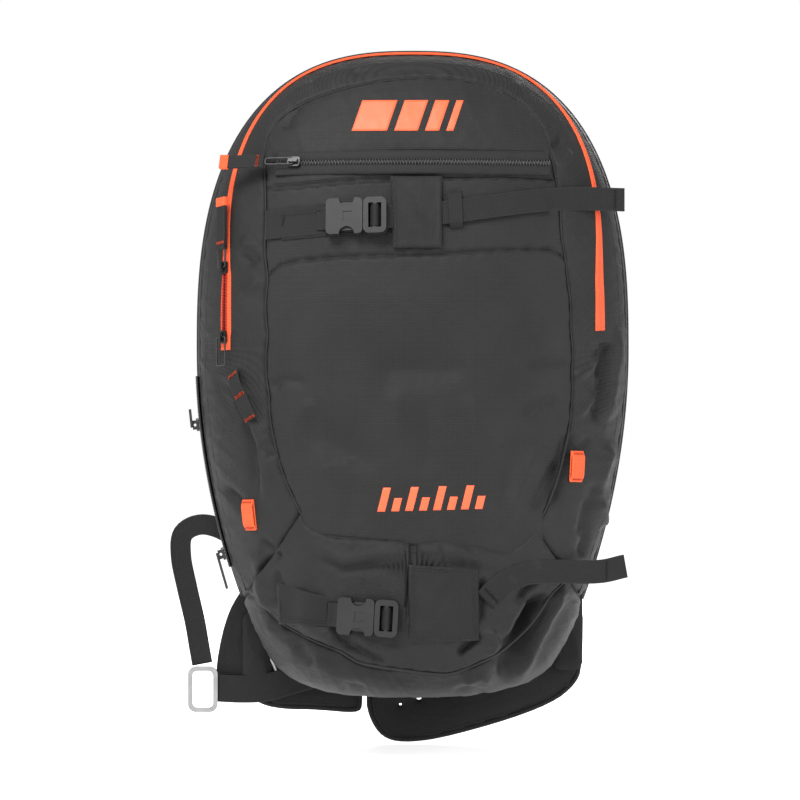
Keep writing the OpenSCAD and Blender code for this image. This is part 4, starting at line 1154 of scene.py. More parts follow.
# ---- Sliders and pulls ----
# Small cast sliders with a bail; each hangs a wire or cord link, and a tab of folded webbing with a bright end
def webbing_shade(name, dark, light, rough=0.6, rib=2.1):
    s = Shade(name)
    lay, across, along, edge = lay_axes(s)
    bars = (along * (2 * math.pi / rib) + (across * (2 * math.pi / 2.6)).sine() * 1.5).sine() * 0.5 + 0.5
    cords = (across * (2 * math.pi / 1.3)).sine() * 0.5 + 0.5
    cloud = s.noise(lay, 0.05, 4.0)
    fluff = s.noise(lay, 1.4, 3.0)
    worn = ((1 - edge / 1.6).at_least(0)) * fluff
    tone = (bars * 0.34 + cords * 0.12 + cloud * 0.38 + worn * 0.55).at_most(1)
    return s.surface(s.mix(tone, dark, light), rough + cloud * 0.16,
                     [(bars * 0.8 + cords * 0.3, 0.00022), (fluff, 0.00008)],
                     sheen=0.04, specular=0.16)


black_webbing = webbing_shade("black_webbing", grey(0.0065), grey(0.019))
orange_webbing = webbing_shade("orange_webbing", (0.56, 0.052, 0.018, 1), (0.90, 0.135, 0.042, 1), rib=1.5)


def plastic_shade(name, dark, light, rough, scale=1.0, coat=0.1):
    s = Shade(name)
    place = s.node("ShaderNodeTexCoord", None, None, "Object")
    pitted = s.noise(place, 1500.0 * scale, 3.0)
    wide = s.noise(place, 45.0 * scale, 4.0)
    scuffed = ((s.noise(place, 240.0 * scale, 5.0, 0.7) - 0.60) * 6).at_least(0).at_most(1)
    tone = (wide * 0.55 + pitted * 0.15 + scuffed * 0.5).at_most(1)
    return s.surface(s.mix(tone, dark, light), rough + pitted * 0.12 + scuffed * 0.15,
                     [(pitted, 0.00005), (wide, 0.0002)],
                     coat=coat, specular=0.34, coat_rough=0.3)


def metal_shade(name, dark, light, rough, scale=1.0):
    s = Shade(name)
    place = s.node("ShaderNodeTexCoord", None, None, "Object")
    fine = s.noise(place, 900.0 * scale, 4.0)
    wide = s.noise(place, 70.0 * scale, 4.0)
    scratched = ((s.noise(place, 330.0 * scale, 2.0, 0.8) - 0.62) * 8).at_least(0).at_most(1)
    return s.surface(s.mix((wide * 0.7 + fine * 0.2).at_most(1), dark, light),
                     rough + fine * 0.12 + scratched * 0.2,
                     [(fine, 0.00003), (scratched, 0.00006)], metallic=1.0)


buckle_plastic = plastic_shade("buckle_acetal", grey(0.006), grey(0.022), 0.36)
slider_black = metal_shade("black_painted_zinc", grey(0.03), grey(0.09), 0.38)
steel_wire = metal_shade("polished_steel", grey(0.24), grey(0.46), 0.24)


def finish_node(names, material, bevel=0.0):
    """Gives frame parts their finish, and breaks their sharp edges as a mould or a tumbler does."""
    for name in names:
        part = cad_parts[name]
        part.data.materials.clear()
        part.data.materials.append(material)
        if bevel:
            rounder = part.modifiers.new("broken_edges", "BEVEL")
            rounder.width = bevel / 1000
            rounder.segments = 3
            rounder.limit_method = "ANGLE"
            rounder.angle_limit = math.radians(35)
            rounder.harden_normals = True
            rounder.use_clamp_overlap = True


SLIDERS = ["front_zip_slider", "main_zip_upper_slider", "main_zip_lower_slider", "side_zip_upper_slider",
           "side_zip_lower_slider"]
finish_node(SLIDERS, slider_black, bevel=0.35)


def turned(axis, degrees):
    return np.array(Matrix.Rotation(math.radians(degrees), 3, axis))


def axes_of(along, out):
    """A matrix whose columns are along, its left, and out."""
    x = unit(np.asarray(along, float))
    y = unit(np.cross(out, x))
    return np.stack([x, y, np.cross(x, y)], -1)


def placed(parts, turn, at):
    return [((p @ turn.T) + at, f, l) for p, f, l in parts]


def loop_path(length, width, round_r, n=7):
    """A flat wire loop with round corners, from its pin at the origin towards -X."""
    made = []
    for cx, cy, a0 in ((0, 1, 0), (-1, 1, 90), (-1, -1, 180), (0, -1, 270)):
        for a in np.radians(np.linspace(a0, a0 + 90, n)):
            made.append((cx * length + (round_r if cx else -round_r) + round_r * math.cos(a),
                         cy * (width / 2 - round_r) + round_r * math.sin(a), 0))
    return np.array(made)


def tab_parts(near, far, width, thick=1.5, droop=0.0):
    """A tab of webbing folded round its link at near, both layers stitched together, with its end at far."""
    reach_x = np.linspace(near, far, 22)
    t = np.linspace(0, 1, 22)
    sag = -droop * t * t
    top = np.stack([reach_x, 0 * t, 0.8 + 0.5 * np.exp(-t * 18) + sag + 0.12 * np.sin(t * 15)], -1)
    low = np.stack([reach_x, 0 * t, -0.8 - 0.5 * np.exp(-t * 18) + sag + 0.12 * np.sin(t * 15)], -1)
    turn_a = np.radians(np.linspace(-80, 80, 9))
    fold = np.stack([near + 1.3 * np.cos(turn_a), 0 * turn_a, 1.3 * np.sin(turn_a)], -1)
    path = np.concatenate([low[::-1], fold, top])
    ups = tangents(path)
    face = np.stack([-ups[:, 2], 0 * ups[:, 0], ups[:, 0]], -1)
    return strap_parts(path, face, width, thick)


def bartack(centre, along, across, out, length=8.5, size=0.42, count=11, spread_mm=2.6):
    """A dense bar of zigzag thread that locks a strap's end."""
    path = []
    for i in range(count * 2 + 1):
        path.append(np.asarray(centre) + along * (spread_mm * ((i % 2) - 0.5)) + across * (length * (i / (count * 2) - 0.5)) + out * 0.15)
    return tube_parts(np.array(path), size, 6)


def make_pull(name, node, body, turn, at, tab, link_l, width, link_w):
    """A webbing tab on a link; tab is its near and far end along the slider's -X."""
    rod = 3.2
    near, far = tab
    lift_at = np.array([0, 0, rod])
    wire = tube_parts(loop_path(link_l, link_w, 2.0) + lift_at, 1.5, 8, closed=True)
    ring = joined(name + "_link", placed([wire], turn, at), slider_black)
    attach(ring, body)
    made = [ring]
    if near is not None:
        tape = tab_parts(near, far, width, 1.4)
        tape = [(tape[0] + lift_at, tape[1], tape[2])]
        strap = joined(name + "_tab", placed(tape, turn, at), black_webbing)
        tip = [strap_parts(np.stack([np.linspace(far + 6, far - 1.5, 7), np.zeros(7), np.zeros(7)],
                                    -1) + lift_at, [0, 0, 1.0],
                           width + 0.7, 4.1)]
        end = joined(name + "_tip", placed(tip, turn, at), orange_webbing)
        x_axis, y_axis, z_axis = np.eye(3)
        tack = joined(name + "_bartack", placed([
            (bartack([near - 4.0, 0, 0], x_axis, y_axis, z_axis, width * 0.86)[0] + lift_at + [0, 0, 1.75],
             *bartack([near - 4.0, 0, 0], x_axis, y_axis, z_axis, width * 0.86)[1:])], turn, at),
             orange_thread)
        for piece, slot in ((strap, "puller"), (end, "accent"), (tack, "accent")):
            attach(piece, body)
            made.append(piece)
    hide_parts(node)
    return made


turn = turned("Z", 252.5)
at = np.array([0, ZIP_AXIS_Y, ZIP_Z]) + turn @ [ZIP_R, 0, 0]
turn = turn @ turned("Y", -19)
at = at + turn @ [ZIP_LIFT + TAPE_T + 1.3, 0, 0]
turn = turn @ turned("Y", 90) @ turned("Z", 90)
make_pull("front_pull", "front_zip_pull", "front_pull", turn, at, (-27.5, -64), 25, 11.5, 5.5)
for name, node, angle, flip, tab, link_l, link_w in (
        ("main_upper_pull", "main_zip_upper_pull", UPPER_AT, -1, (-17, -59), 17, 9),
        ("main_lower_pull", "main_zip_lower_pull", LOWER_AT, 1, (None, None), 24, 11)):
    spot, over, face = main_lines(np.array([angle - 0.5, angle, angle + 0.5]), np.zeros(3),
                                  0.6 + 1.2 + 1 + 0.6)
    bare, _, _ = main_lines(np.array([angle - 0.5, angle, angle + 0.5]), np.zeros(3), 0)
    turn = axes_of((bare[0] - bare[2]) * flip, face[1])
    make_pull(name, node, name, turn, spot[1], tab, link_l, 10.5, link_w)


# ---- Straps on the front ----
# Black nylon webbing sewn on the left of the shell and threaded through each buckle.
# The free ends run out to the right
def over_cloth(x, z, half, out):
    """A path on the cloth under a strap, clear of the folds across its whole width."""
    x, z = np.asarray(x, float), np.asarray(z, float)
    tall = np.max([cloth_height(x, z + o) for o in np.linspace(-half, half, 5)], axis=0)
    tall = np.convolve(np.pad(tall, 2, mode="edge"), [0.15, 0.22, 0.26, 0.22, 0.15], "valid")
    normal = wall_normal(x, z)
    return stack(x, wall_y(x, z), z) + normal * (np.maximum(tall, 0) + out)[:, None], normal


STRAP_W, STRAP_T = 20.0, 1.6
xs = np.linspace(-123, -70.5, 30)
path, out = over_cloth(xs, 402 + (xs + 124) * 0.078, 12, 1.9)
band_runs = [strap_parts(path, out, STRAP_W + 5, STRAP_T)]
patch_x = np.linspace(-110, -72, 18)
path2, out2 = over_cloth(patch_x, 402 + (patch_x + 124) * 0.078, 13, 1.1)
band_runs.append(strap_parts(path2 + out2 * 0.2, out2, STRAP_W + 8, 1.0))
low_x = np.linspace(-110, -59, 26)
path3, out3 = over_cloth(low_x, np.interp(low_x, [-112, -60], [85, 77]), 14, 3.4)
band_runs.append(strap_parts(path3, out3, np.linspace(36, STRAP_W + 1, 26), STRAP_T))
anchors = joined("strap_anchors_webbing", band_runs, black_webbing)
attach(anchors, "pack")
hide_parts("strap_anchors")
runs = []
for offset in (-8.2, 8.2):
    runs += thread_parts(path[6:] + [0, 0, offset] + out[6:] * 0.95, out[6:])
for at_x in (8, 26):
    spot = path[at_x]
    side = np.array([0, 0, 1.0])
    runs.append(bartack(spot + out[at_x] * 1.0, np.array([1.0, 0, 0]), side, out[at_x], STRAP_W * 0.8,
                        spread_mm=2.2))
for offset in (-0.78, 0.78):
    runs += thread_parts(path3 + np.linspace(16, 10, 26)[:, None] * [0, 0, offset] + out3 * 0.95, out3)
for k in (1, 20):
    runs.append(bartack(path3[k] + out3[k] * 1.0, np.array([1.0, 0, 0]), np.array([0, 0, 1.0]), out3[k],
                        24 if k < 5 else 17, spread_mm=2.2))
sewing = joined("strap_anchor_stitching", runs, black_thread)
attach(sewing, "pack")

# Straps that turn round the bars of the buckles: a short loop at the socket and one on the plug's ladder
def buckle_frame(at, spin, lean, turn_z, lift):
    turn = turned("X", lean) @ turned("Z", -turn_z) @ turned("X", 90) @ turned("Z", spin)
    return turn, np.array([at[0], wall_y(at[0], at[1]) - lift, at[1]])


upper_turn, upper_at = buckle_frame((-72, 407), 0, -12, 8, 2.4)
lower_turn, lower_at = buckle_frame((-62, 76), -3, 0, 9, 4.4)
loops = []
for turn, at in ((upper_turn, upper_at), (lower_turn, lower_at)):
    around = np.array([(-9, 0.5), (-5, 1.2), (-1.5, 3.2), (0.8, 5.6), (2.6, 6.6), (3.9, 5.2), (3.6, 3.4),
                       (1.6, 1.8), (-2, 0.3), (-8, -0.6)])
    path = smooth_path(np.stack([around[:, 0], 0 * around[:, 0], around[:, 1]], -1), 3)
    ups = tangents(path)
    loops += placed([strap_parts(path, np.stack([-ups[:, 2], 0 * ups[:, 0], ups[:, 0]], -1), STRAP_W - 0.6,
                                 1.3)], turn, at)
    ladder = np.array([(36.8, 1.0), (37.6, 4.4), (39.2, 7.0), (41.4, 9.4), (43.2, 8.4), (44.4, 5.2),
                       (46.0, 1.8), (50, 0.6), (56, 0.4)])
    path = smooth_path(np.stack([ladder[:, 0], 0 * ladder[:, 0], ladder[:, 1]], -1), 3)
    ups = tangents(path)
    loops += placed([strap_parts(path[3:], np.stack([-ups[3:, 2], 0 * ups[3:, 0], ups[3:, 0]], -1),
                                 STRAP_W - 0.6, 1.3)], turn, at)
socket_loops = joined("buckle_socket_loops", loops[0::2], black_webbing)
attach(socket_loops, "pack")
for part, body in ((loops[1], "upper_plug"), (loops[3], "lower_plug")):
    ladder_loop = joined(body + "_ladder_loop", [part], black_webbing)
    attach(ladder_loop, body)

finish_node(["upper_buckle_socket", "upper_buckle_plug", "upper_buckle_prong_a", "upper_buckle_prong_b",
             "lower_buckle_socket", "lower_buckle_plug", "lower_buckle_prong_a", "lower_buckle_prong_b"],
            buckle_plastic, bevel=0.8)

# Free end of the upper strap: flat on the pocket, then straight out past the shell, with its end folded and sewn
xs = np.array([-19.6, -10, 0, 10, 20, 28, 38, 54, 70, 88, 104, 112, 120, 136, 152, 168, 178, 180.5])
zs = 409 + 17 * hump((xs + 20) / 170)
on, normal = over_cloth(np.minimum(xs, 112), zs, 10, 1.35)
free = np.maximum(xs - 112, 0)
deep = on[:, 1] + free * 0.52
deep = np.where(xs > 112, on[xs.tolist().index(112), 1] + free * 0.52, deep)
flat_out = wall_y(np.minimum(xs, 112), zs) - np.where(xs < 28, 1.3, 3.2)
deep = np.minimum(deep, np.where(xs > 112, deep, flat_out))
path = smooth_path(np.stack([xs, deep, zs], -1), 3)
upper_face = np.where((path[:, 0] > 112)[:, None], unit(np.array([0.46, -0.89, 0.0])),
                      wall_normal(np.minimum(path[:, 0], 112), path[:, 2]))
tail = [strap_parts(path, upper_face, STRAP_W, STRAP_T)]
end = path[-7:] + upper_face[-7:] * -1.5
tail.append(strap_parts(end, upper_face[-7:], STRAP_W - 0.3, STRAP_T))
upper_tail = joined("upper_strap_tail_webbing", tail, black_webbing)
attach(upper_tail, "pack")
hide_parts("upper_strap_tail")
tack_at = path[-6] + upper_face[-6] * 0.95
end_thread = [bartack(tack_at, unit(path[-1] - path[-8]), np.array([0, 0, 1.0]), upper_face[-6],
                      STRAP_W * 0.84, spread_mm=2.0)]

low_line = smooth_path([(60, 0, 88), (74, 0, 101), (92, 0, 109), (112, 0, 111), (136, 0, 110), (160, 0, 110),
                        (180.5, 0, 114)], 6)
xs, zs = low_line[:, 0], low_line[:, 2]
on, normal = over_cloth(np.minimum(xs, 112), zs, 10, 1.3)
leave = np.argmin(np.abs(xs - 112))
deep = np.where(xs > 112, 0, np.minimum(on[:, 1], wall_y(np.minimum(xs, 112), zs) - 4))
deep = np.where(xs > 112, deep[leave] + (xs - 112) * 0.52, deep)
path = np.stack([xs, deep, zs], -1)
path[:, 1] = np.convolve(np.pad(path[:, 1], 2, mode="edge"), np.ones(5) / 5, "valid")
lower_face = np.where((path[:, 0] > 112)[:, None], unit(np.array([0.46, -0.89, 0.0])), normal)
tail = [strap_parts(path, lower_face, STRAP_W, STRAP_T),
        strap_parts(path[-7:] - lower_face[-7:] * 1.5, lower_face[-7:], STRAP_W - 0.3, STRAP_T)]
lower_tail = joined("lower_strap_tail_webbing", tail, black_webbing)
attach(lower_tail, "pack")
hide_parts("lower_strap_tail")
end_thread.append(bartack(path[-6] + lower_face[-6] * 0.95, unit(path[-1] - path[-8]), np.array([0, 0, 1.0]),
                          lower_face[-6],
                          STRAP_W * 0.84, spread_mm=2.0))
end_thread.append(bartack(path[2] + lower_face[2] * 0.95, unit(path[3] - path[1]),
                          unit(np.cross(lower_face[2], path[3] - path[1])),
                          lower_face[2], STRAP_W * 0.84, spread_mm=2.0))
tail_thread = joined("strap_end_bartacks", end_thread, black_thread)
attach(tail_thread, "pack")

# Keeper: a loop of narrow webbing sewn above and below the strap
kz = np.linspace(398.5, 431.5, 16)
kx = np.interp(kz, [401, 429], [36.2, 35.2])
on, normal = over_cloth(kx, kz, 5, 0.9)
over = hump((kz - 399) / 4) * hump((431 - kz) / 4)
base_y = wall_y(kx, kz)
clear = on + normal * 0.0
clear[:, 1] = np.minimum(on[:, 1] - over * 2.7, base_y - over * 5.0)
keeper = joined("strap_keeper_webbing", [strap_parts(clear, normal, 11, 1.2)], black_webbing)
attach(keeper, "pack")
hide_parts("strap_keeper")

# Flaps: two layers of shell cloth hemmed round the edge, one over the upper buckle's ladder and one over the lower strap
def flap_parts(corners, out, thick, bulge):
    a, b, c, d = [np.array(p, float) for p in corners]
    u, v = np.meshgrid(spread(42, 1.8), spread(60, 2.2))
    spots = (1 - v)[..., None] * ((1 - u)[..., None] * a + u[..., None] * b) + v[...,
            None] * ((1 - u)[..., None] * d + u[..., None] * c)
    x, z = spots[..., 0], spots[..., 1]
    flat = stack(x, wall_y(x, z), z)
    normal = wall_normal(x, z)
    gaps = edge_gaps(flat, (1, 1, 1, 1))
    roll = 0.7 * np.exp(-((gaps - 2.0) / 1.5) ** 2) - 0.75 * (1 - hump(gaps / 1.6))
    ripple = 0.5 * np.sin(z * 0.22 + np.sin(x * 0.11) * 2) * np.sin(x * 0.13 + 1) * hump(gaps / 8)
    front = flat + normal * (out + thick + bulge * hump(gaps / 20) + roll + ripple)[..., None]
    back = flat + normal * (out + 0 * gaps + bulge * hump(gaps / 20) * 0.9)[..., None]
    return sheet_parts(front, back, stack(x, z, gaps)), front, normal, gaps


flap, front, normal, gaps = flap_parts([(-17, 382), (24, 382), (24, 442), (-19, 442)], 3.6, 1.1, 0.7)
garage = joined("strap_flap_cloth", [flap], smooth_cloth)
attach(garage, "strap_flap")
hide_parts("strap_flap")
hem_line = front[3:-3, 3]
runs = thread_parts(hem_line, normal[3:-3, 3]) + thread_parts(front[3:-3, -4], normal[3:-3, -4])
runs += thread_parts(front[3, 3:-3], normal[3, 3:-3]) + thread_parts(front[-4, 3:-3], normal[-4, 3:-3])
flap_thread = joined("strap_flap_stitching", runs, black_thread)
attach(flap_thread, "strap_flap")

flap, front, normal, gaps = flap_parts([(-4, 51), (54, 55), (54, 114), (-4, 118)], 2.8, 1.2, 2.4)
low_flap = joined("lower_flap_cloth", [flap], smooth_cloth)
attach(low_flap, "pack")
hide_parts("lower_flap")
runs = []
for ring in (3, 5):
    runs += thread_parts(front[ring:-ring, ring],
                         normal[ring:-ring, ring]) + thread_parts(front[ring:-ring, -ring - 1],
                                 normal[ring:-ring, -ring - 1])
    runs += thread_parts(front[ring, ring:-ring],
                         normal[ring, ring:-ring]) + thread_parts(front[-ring - 1, ring:-ring],
                                 normal[-ring - 1, ring:-ring])
low_thread = joined("lower_flap_stitching", runs, black_thread)
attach(low_thread, "pack")

# Gear loops: short folded tapes of orange webbing bar-tacked at the sides, and a black tab on the left
loops, tacks = [], []
for cx, cz, lean in ((-137, 158, -0.05), (137, 199, 0.03)):
    here, out = over_cloth(np.array([cx] * 5), np.array([cz] * 5), 13, 0.9)
    here, out = here[2], out[2]
    up = unit(np.array([lean, 0, 1.0]) - out * (np.array([lean, 0, 1.0]) @ out))
    t = np.linspace(-13, 13, 22)
    arch = 2.3 * hump((13 - np.abs(t)) / 6) + 0.4
    path = here + up * t[:, None] + out * arch[:, None]
    ups = tangents(path)
    loops.append(strap_parts(path, out, 14, 1.5))
    loops.append(strap_parts(here + up * t[:, None] + out * (0.1 + 0 * arch[:, None]), out, 14, 1.2))
    for end in (2, 19):
        tacks.append(bartack(path[end] + out * 0.85, up, np.cross(out, up), out, 11.5, spread_mm=2.2))
gear = joined("gear_loop_webbing", loops, orange_webbing)
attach(gear, "pack")
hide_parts("gear_loops")
tack_piece = joined("gear_loop_bartacks", tacks, orange_thread)
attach(tack_piece, "pack")
dz = np.linspace(238, 278, 24)
dx = np.interp(dz, [238, 278], [-132, -150])
on, normal = over_cloth(dx, dz, 6, 1.9)
lifted = on + normal * (0.9 * np.abs(np.sin((dz - 238) / 40 * math.pi * 2)))[:, None]
daisy = joined("daisy_tab_webbing", [strap_parts(lifted, normal, 12.5, 1.5)], black_webbing)
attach(daisy, "pack")
tacks = [bartack(lifted[k] + normal[k] * 0.9, unit(lifted[k + 1] - lifted[k]),
                 unit(np.cross(normal[k], lifted[k + 1] - lifted[k])), normal[k],
                 10.5, spread_mm=2.8, size=0.5) for k in (1, 12, 22)]
daisy_tacks = joined("daisy_tab_bartacks", tacks, orange_thread)
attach(daisy_tacks, "pack")


# ---- Padded parts: each is foam between two fabrics; the contact pads and shoulder straps are swollen by a short cloth simulation ----
def pad_parts(outline, inner_y, outer_y, rim=0.22, channels=()):
    """A crowned pad over an outline in x and height; inner_y and outer_y are its two faces."""
    ring = np.array(outline, float)
    ring = np.stack([np.interp(np.linspace(0, 1, 121)[:-1],
                               np.concatenate([[0], np.cumsum(np.linalg.norm(np.diff(
        np.concatenate([ring, ring[:1]]), axis=0), axis=1))]) / np.linalg.norm(np.diff(np.concatenate([ring,
                ring[:1]]), axis=0),
        axis=1).sum(), np.concatenate([ring[:, i], ring[:1, i]])) for i in range(2)], -1)
    middle = ring.mean(0)
    inward = np.array([0, 0.025, 0.06, 0.11, 0.18, 0.28, 0.4, 0.55, 0.72, 0.9, 0.985])
    spots = middle + (ring - middle) * (1 - inward)[:, None, None]
    size = np.linalg.norm(ring - middle, axis=1)
    gaps = np.minimum(size[None] * inward[:, None], 60)
    half, centre = abs(outer_y - inner_y) / 2, (outer_y + inner_y) / 2
    thick = half * (rim + (1 - rim) * hump(gaps / 12) ** 0.5)
    for line in channels:
        a, b = np.array(line[0], float), np.array(line[1], float)
        along = np.clip(((spots - a) @ (b - a)) / ((b - a) @ (b - a)), 0, 1)
        away = np.linalg.norm(spots - (a + along[..., None] * (b - a)), axis=-1)
        thick = thick * (1 - 0.6 * np.exp(-(away / 3.2) ** 2))
    sign = np.sign(outer_y - inner_y)
    front = stack(spots[..., 0], centre + sign * thick, spots[..., 1])
    back = stack(spots[..., 0], centre - sign * thick, spots[..., 1])
    points, faces, lays = sheet_parts(front, back, stack(spots[..., 0], spots[..., 1], gaps), ring=True)
    count, rows = len(ring), len(inward)
    last = (rows - 1) * count
    faces += [tuple(last + k for k in range(count)),
              tuple(rows * count + last + k for k in range(count))[::-1]]
    faces = [f for f in faces if not (len(f) == 4 and all(v % (rows * count) >= last for v in f))]
    return points, faces, lays


def swell(piece, pressure=4.0, cap_mm=2.2, voxel=0.0055):
    """Blows a pad up against its own cloth for twenty frames, and keeps it within a cap of where it started."""
    mesh = piece.data
    source = np.empty(len(mesh.vertices) * 3)
    mesh.vertices.foreach_get("co", source)
    source = source.reshape(-1, 3)
    lay = np.empty(len(mesh.vertices) * 3, np.float32)
    mesh.attributes["lay"].data.foreach_get("vector", lay)
    lay = lay.reshape(-1, 3)
    finish = mesh.materials[0]
    bpy.ops.object.select_all(action="DESELECT")
    piece.select_set(True)
    bpy.context.view_layer.objects.active = piece
    remesh = piece.modifiers.new("voxels", "REMESH")
    remesh.mode = "VOXEL"
    remesh.voxel_size = voxel
    bpy.ops.object.modifier_apply(modifier="voxels")
    start = np.empty(len(piece.data.vertices) * 3)
    piece.data.vertices.foreach_get("co", start)
    start = start.reshape(-1, 3)
    cloth = piece.modifiers.new("cloth", "CLOTH")
    cloth.settings.use_pressure = True
    cloth.settings.uniform_pressure_force = pressure
    cloth.settings.effector_weights.gravity = 0
    cloth.settings.tension_stiffness = 40
    cloth.settings.bending_stiffness = 4
    cloth.point_cache.frame_start, cloth.point_cache.frame_end = 1, 20
    for number in range(1, 21):
        bpy.context.scene.frame_set(number)
    bpy.ops.object.modifier_apply(modifier="cloth")
    bpy.context.scene.frame_set(1)
    moved = np.empty(len(piece.data.vertices) * 3)
    piece.data.vertices.foreach_get("co", moved)
    moved = moved.reshape(-1, 3)
    shift = np.nan_to_num(moved - start)
    size = np.linalg.norm(shift, axis=1, keepdims=True)
    shift = shift * np.minimum(1, cap_mm / 1000 / np.maximum(size, 1e-9))
    piece.data.vertices.foreach_set("co", (start + shift).ravel())
    finer = piece.modifiers.new("finer", "SUBSURF")
    finer.levels = finer.render_levels = 1
    bpy.ops.object.modifier_apply(modifier="finer")
    fine = np.empty(len(piece.data.vertices) * 3)
    piece.data.vertices.foreach_get("co", fine)
    fine = fine.reshape(-1, 3)
    tree = KDTree(len(source))
    for i, spot in enumerate(source):
        tree.insert(spot, i)
    tree.balance()
    new_lay = np.empty((len(fine), 3), np.float32)
    for i, spot in enumerate(fine):
        found = tree.find_n(spot, 4)
        weights = np.array([1 / (d + 1e-6) for _, _, d in found])
        new_lay[i] = (lay[[k for _, k, _ in found]] * weights[:, None]).sum(0) / weights.sum()
    piece.data.attributes.new("lay", "FLOAT_VECTOR", "POINT") if "lay" not in piece.data.attributes else None
    piece.data.attributes["lay"].data.foreach_set("vector", new_lay.ravel())
    if not piece.data.materials:
        piece.data.materials.append(finish)
    piece.data.shade_smooth()


def spacer_shade():
    s = Shade("spacer_mesh")
    lay, across, along, edge = lay_axes(s)
    holes = s.node("ShaderNodeTexVoronoi", {"feature": "F1"},
                   {"Vector": lay, "Scale": 0.42, "Randomness": 0.18}, "Distance")
    # The holes of the mesh are painted near black: painted shade inside the holes, over the mesh's own black.
    open_ = ((0.42 - holes * 1.0) * 3.2).at_least(0).at_most(1)
    cloud = s.noise(lay, 0.03, 4.0)
    piled = s.noise(lay, 1.2, 3.0)
    tone = (cloud * 0.5 + piled * 0.25 + (1 - open_) * 0.28).at_most(1)
    return s.surface(s.mix(open_ * 0.75, s.mix(tone, grey(0.012), grey(0.034)), grey(0.004)), 0.78,
                     [(1 - open_, 0.0005), (piled, 0.0001)], sheen=0.05, specular=0.14)


spacer = spacer_shade()
pad_cloth = shell_cloth("pad_face_cloth", grey(0.009), grey(0.026), 0.66, rib=1.2)
wing_cloth = shell_cloth("wing_cloth", grey(0.0075), grey(0.019), 0.62, rib=1.6)

# Back panel: a foam board faced with mesh, bound at its rim; the contact pads are glued and sewn on it
back_angles = np.radians(np.linspace(0, 360, 241))[:-1]
bx, bz = polar(back_angles, np.array([reach(a, 1.0) for a in back_angles]) - 2.2)
board = joined("back_panel_pad", [pad_parts(np.stack([bx, bz], -1), -19.0, -10.6, rim=0.5,
               channels=[((-44, 130), (-44, 430)), ((44, 130), (44, 430)), ((-120, 140), (120, 140))])],
               spacer)
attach(board, "pack")
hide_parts("back_panel")


def block_outline(w, h, r, cx, cz):
    made = []
    for sx, sz, a0 in ((1, 1, 0), (-1, 1, 90), (-1, -1, 180), (1, -1, 270)):
        for a in np.radians(np.arange(a0, a0 + 91, 15)):
            made.append((cx + sx * (w / 2 - r) + r * math.cos(a), cz + sz * (h / 2 - r) + r * math.sin(a)))
    return made


for name, w, h, r, cx, cz, lines in (
        ("spine_pad", 74, 238, 16, 0, 290, [((-30, y), (30, y)) for y in (230, 290, 350)]),
        ("left_side_pad", 64, 248, 24, -86, 285, [((-112, y), (-60, y)) for y in (225, 285, 345)]),
        ("right_side_pad", 64, 248, 24, 86, 285, [((60, y), (112, y)) for y in (225, 285, 345)]),
        ("lumbar_pad", 234, 106, 30, 0, 82, [((-60, 40), (-60, 124)), ((60, 40), (60, 124))])):
    pad = joined(name, [pad_parts(block_outline(w, h, r, cx, cz), -10.4, -1.8, rim=0.3, channels=lines)],
                 spacer)
    swell(pad, 3.5, 1.6)
    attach(pad, "pack")
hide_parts("back_pads")

# Shoulder straps: curved foam between mesh on the body side and shell cloth outside, bound with tape
STRAP_PATH = [(50, -4.5, 478), (50, 8, 493), (51, 26, 496), (54, 46, 482), (58, 58, 452), (64, 64, 412),
              (72, 66, 370),
              (82, 62, 330), (93, 53, 290), (103, 42, 250), (110, 32, 215)]
for side, name in ((-1, "left_shoulder_strap"), (1, "right_shoulder_strap")):
    mid = smooth_path([(side * x, y, z) for x, y, z in STRAP_PATH], 6)
    along = tangents(mid)
    face = unit(np.cross(along, np.array([1.0, 0, 0])))
    face = face * np.sign(face[len(face) // 2] @ [0, 1, 0])
    over = unit(np.cross(face, along))
    t = np.linspace(0, 1, len(mid))
    wide = (62 - 16 * t) * 0.97 / 2
    u = np.array([-1, -0.96, -0.88, -0.76, -0.6, -0.4, -0.2, 0, 0.2, 0.4, 0.6, 0.76, 0.88, 0.96, 1])
    ends = hump(np.minimum(t, 1 - t) / 0.035)
    groove = 1 - 0.32 * np.exp(-((np.abs(u) - 0.62) / 0.07) ** 2)
    thick = (1.5 + 4.0 * (1 - np.abs(u) ** 3.2) ** 0.5 * groove)[:, None] * (0.45 + 0.55 * ends)[None]
    across = mid[None] + over[None] * (u[:, None] * wide[None])[..., None]
    front, back = across + face[None] * thick[..., None], across - face[None] * thick[..., None]
    run = np.concatenate([[0], np.cumsum(np.linalg.norm(np.diff(mid, axis=0), axis=1))])
    lay = stack(u[:, None] * wide[None], run[None], (1 - np.abs(u))[:, None] * wide[None])
    strap = joined(name + "_pad", [sheet_parts(front, back, lay)], pad_cloth)
    swell(strap, 3.0, 1.2)
    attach(strap, "pack")
    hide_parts(name)
    bind = [tube_parts(np.array([m + o * s * w for m, o, w in zip(mid, over, wide)]), 4.6, 8,
                       flat=1.0) for s in (-0.985, 0.985)]
    edge_tape = joined(name + "_binding", bind, piping)
    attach(edge_tape, "pack")
    daisy_path = mid[10:52] + face[10:52] * (6.2)
    chain = joined(name + "_daisy_chain", [strap_parts(daisy_path, face[10:52], 14, 1.4)], black_webbing)
    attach(chain, "pack")

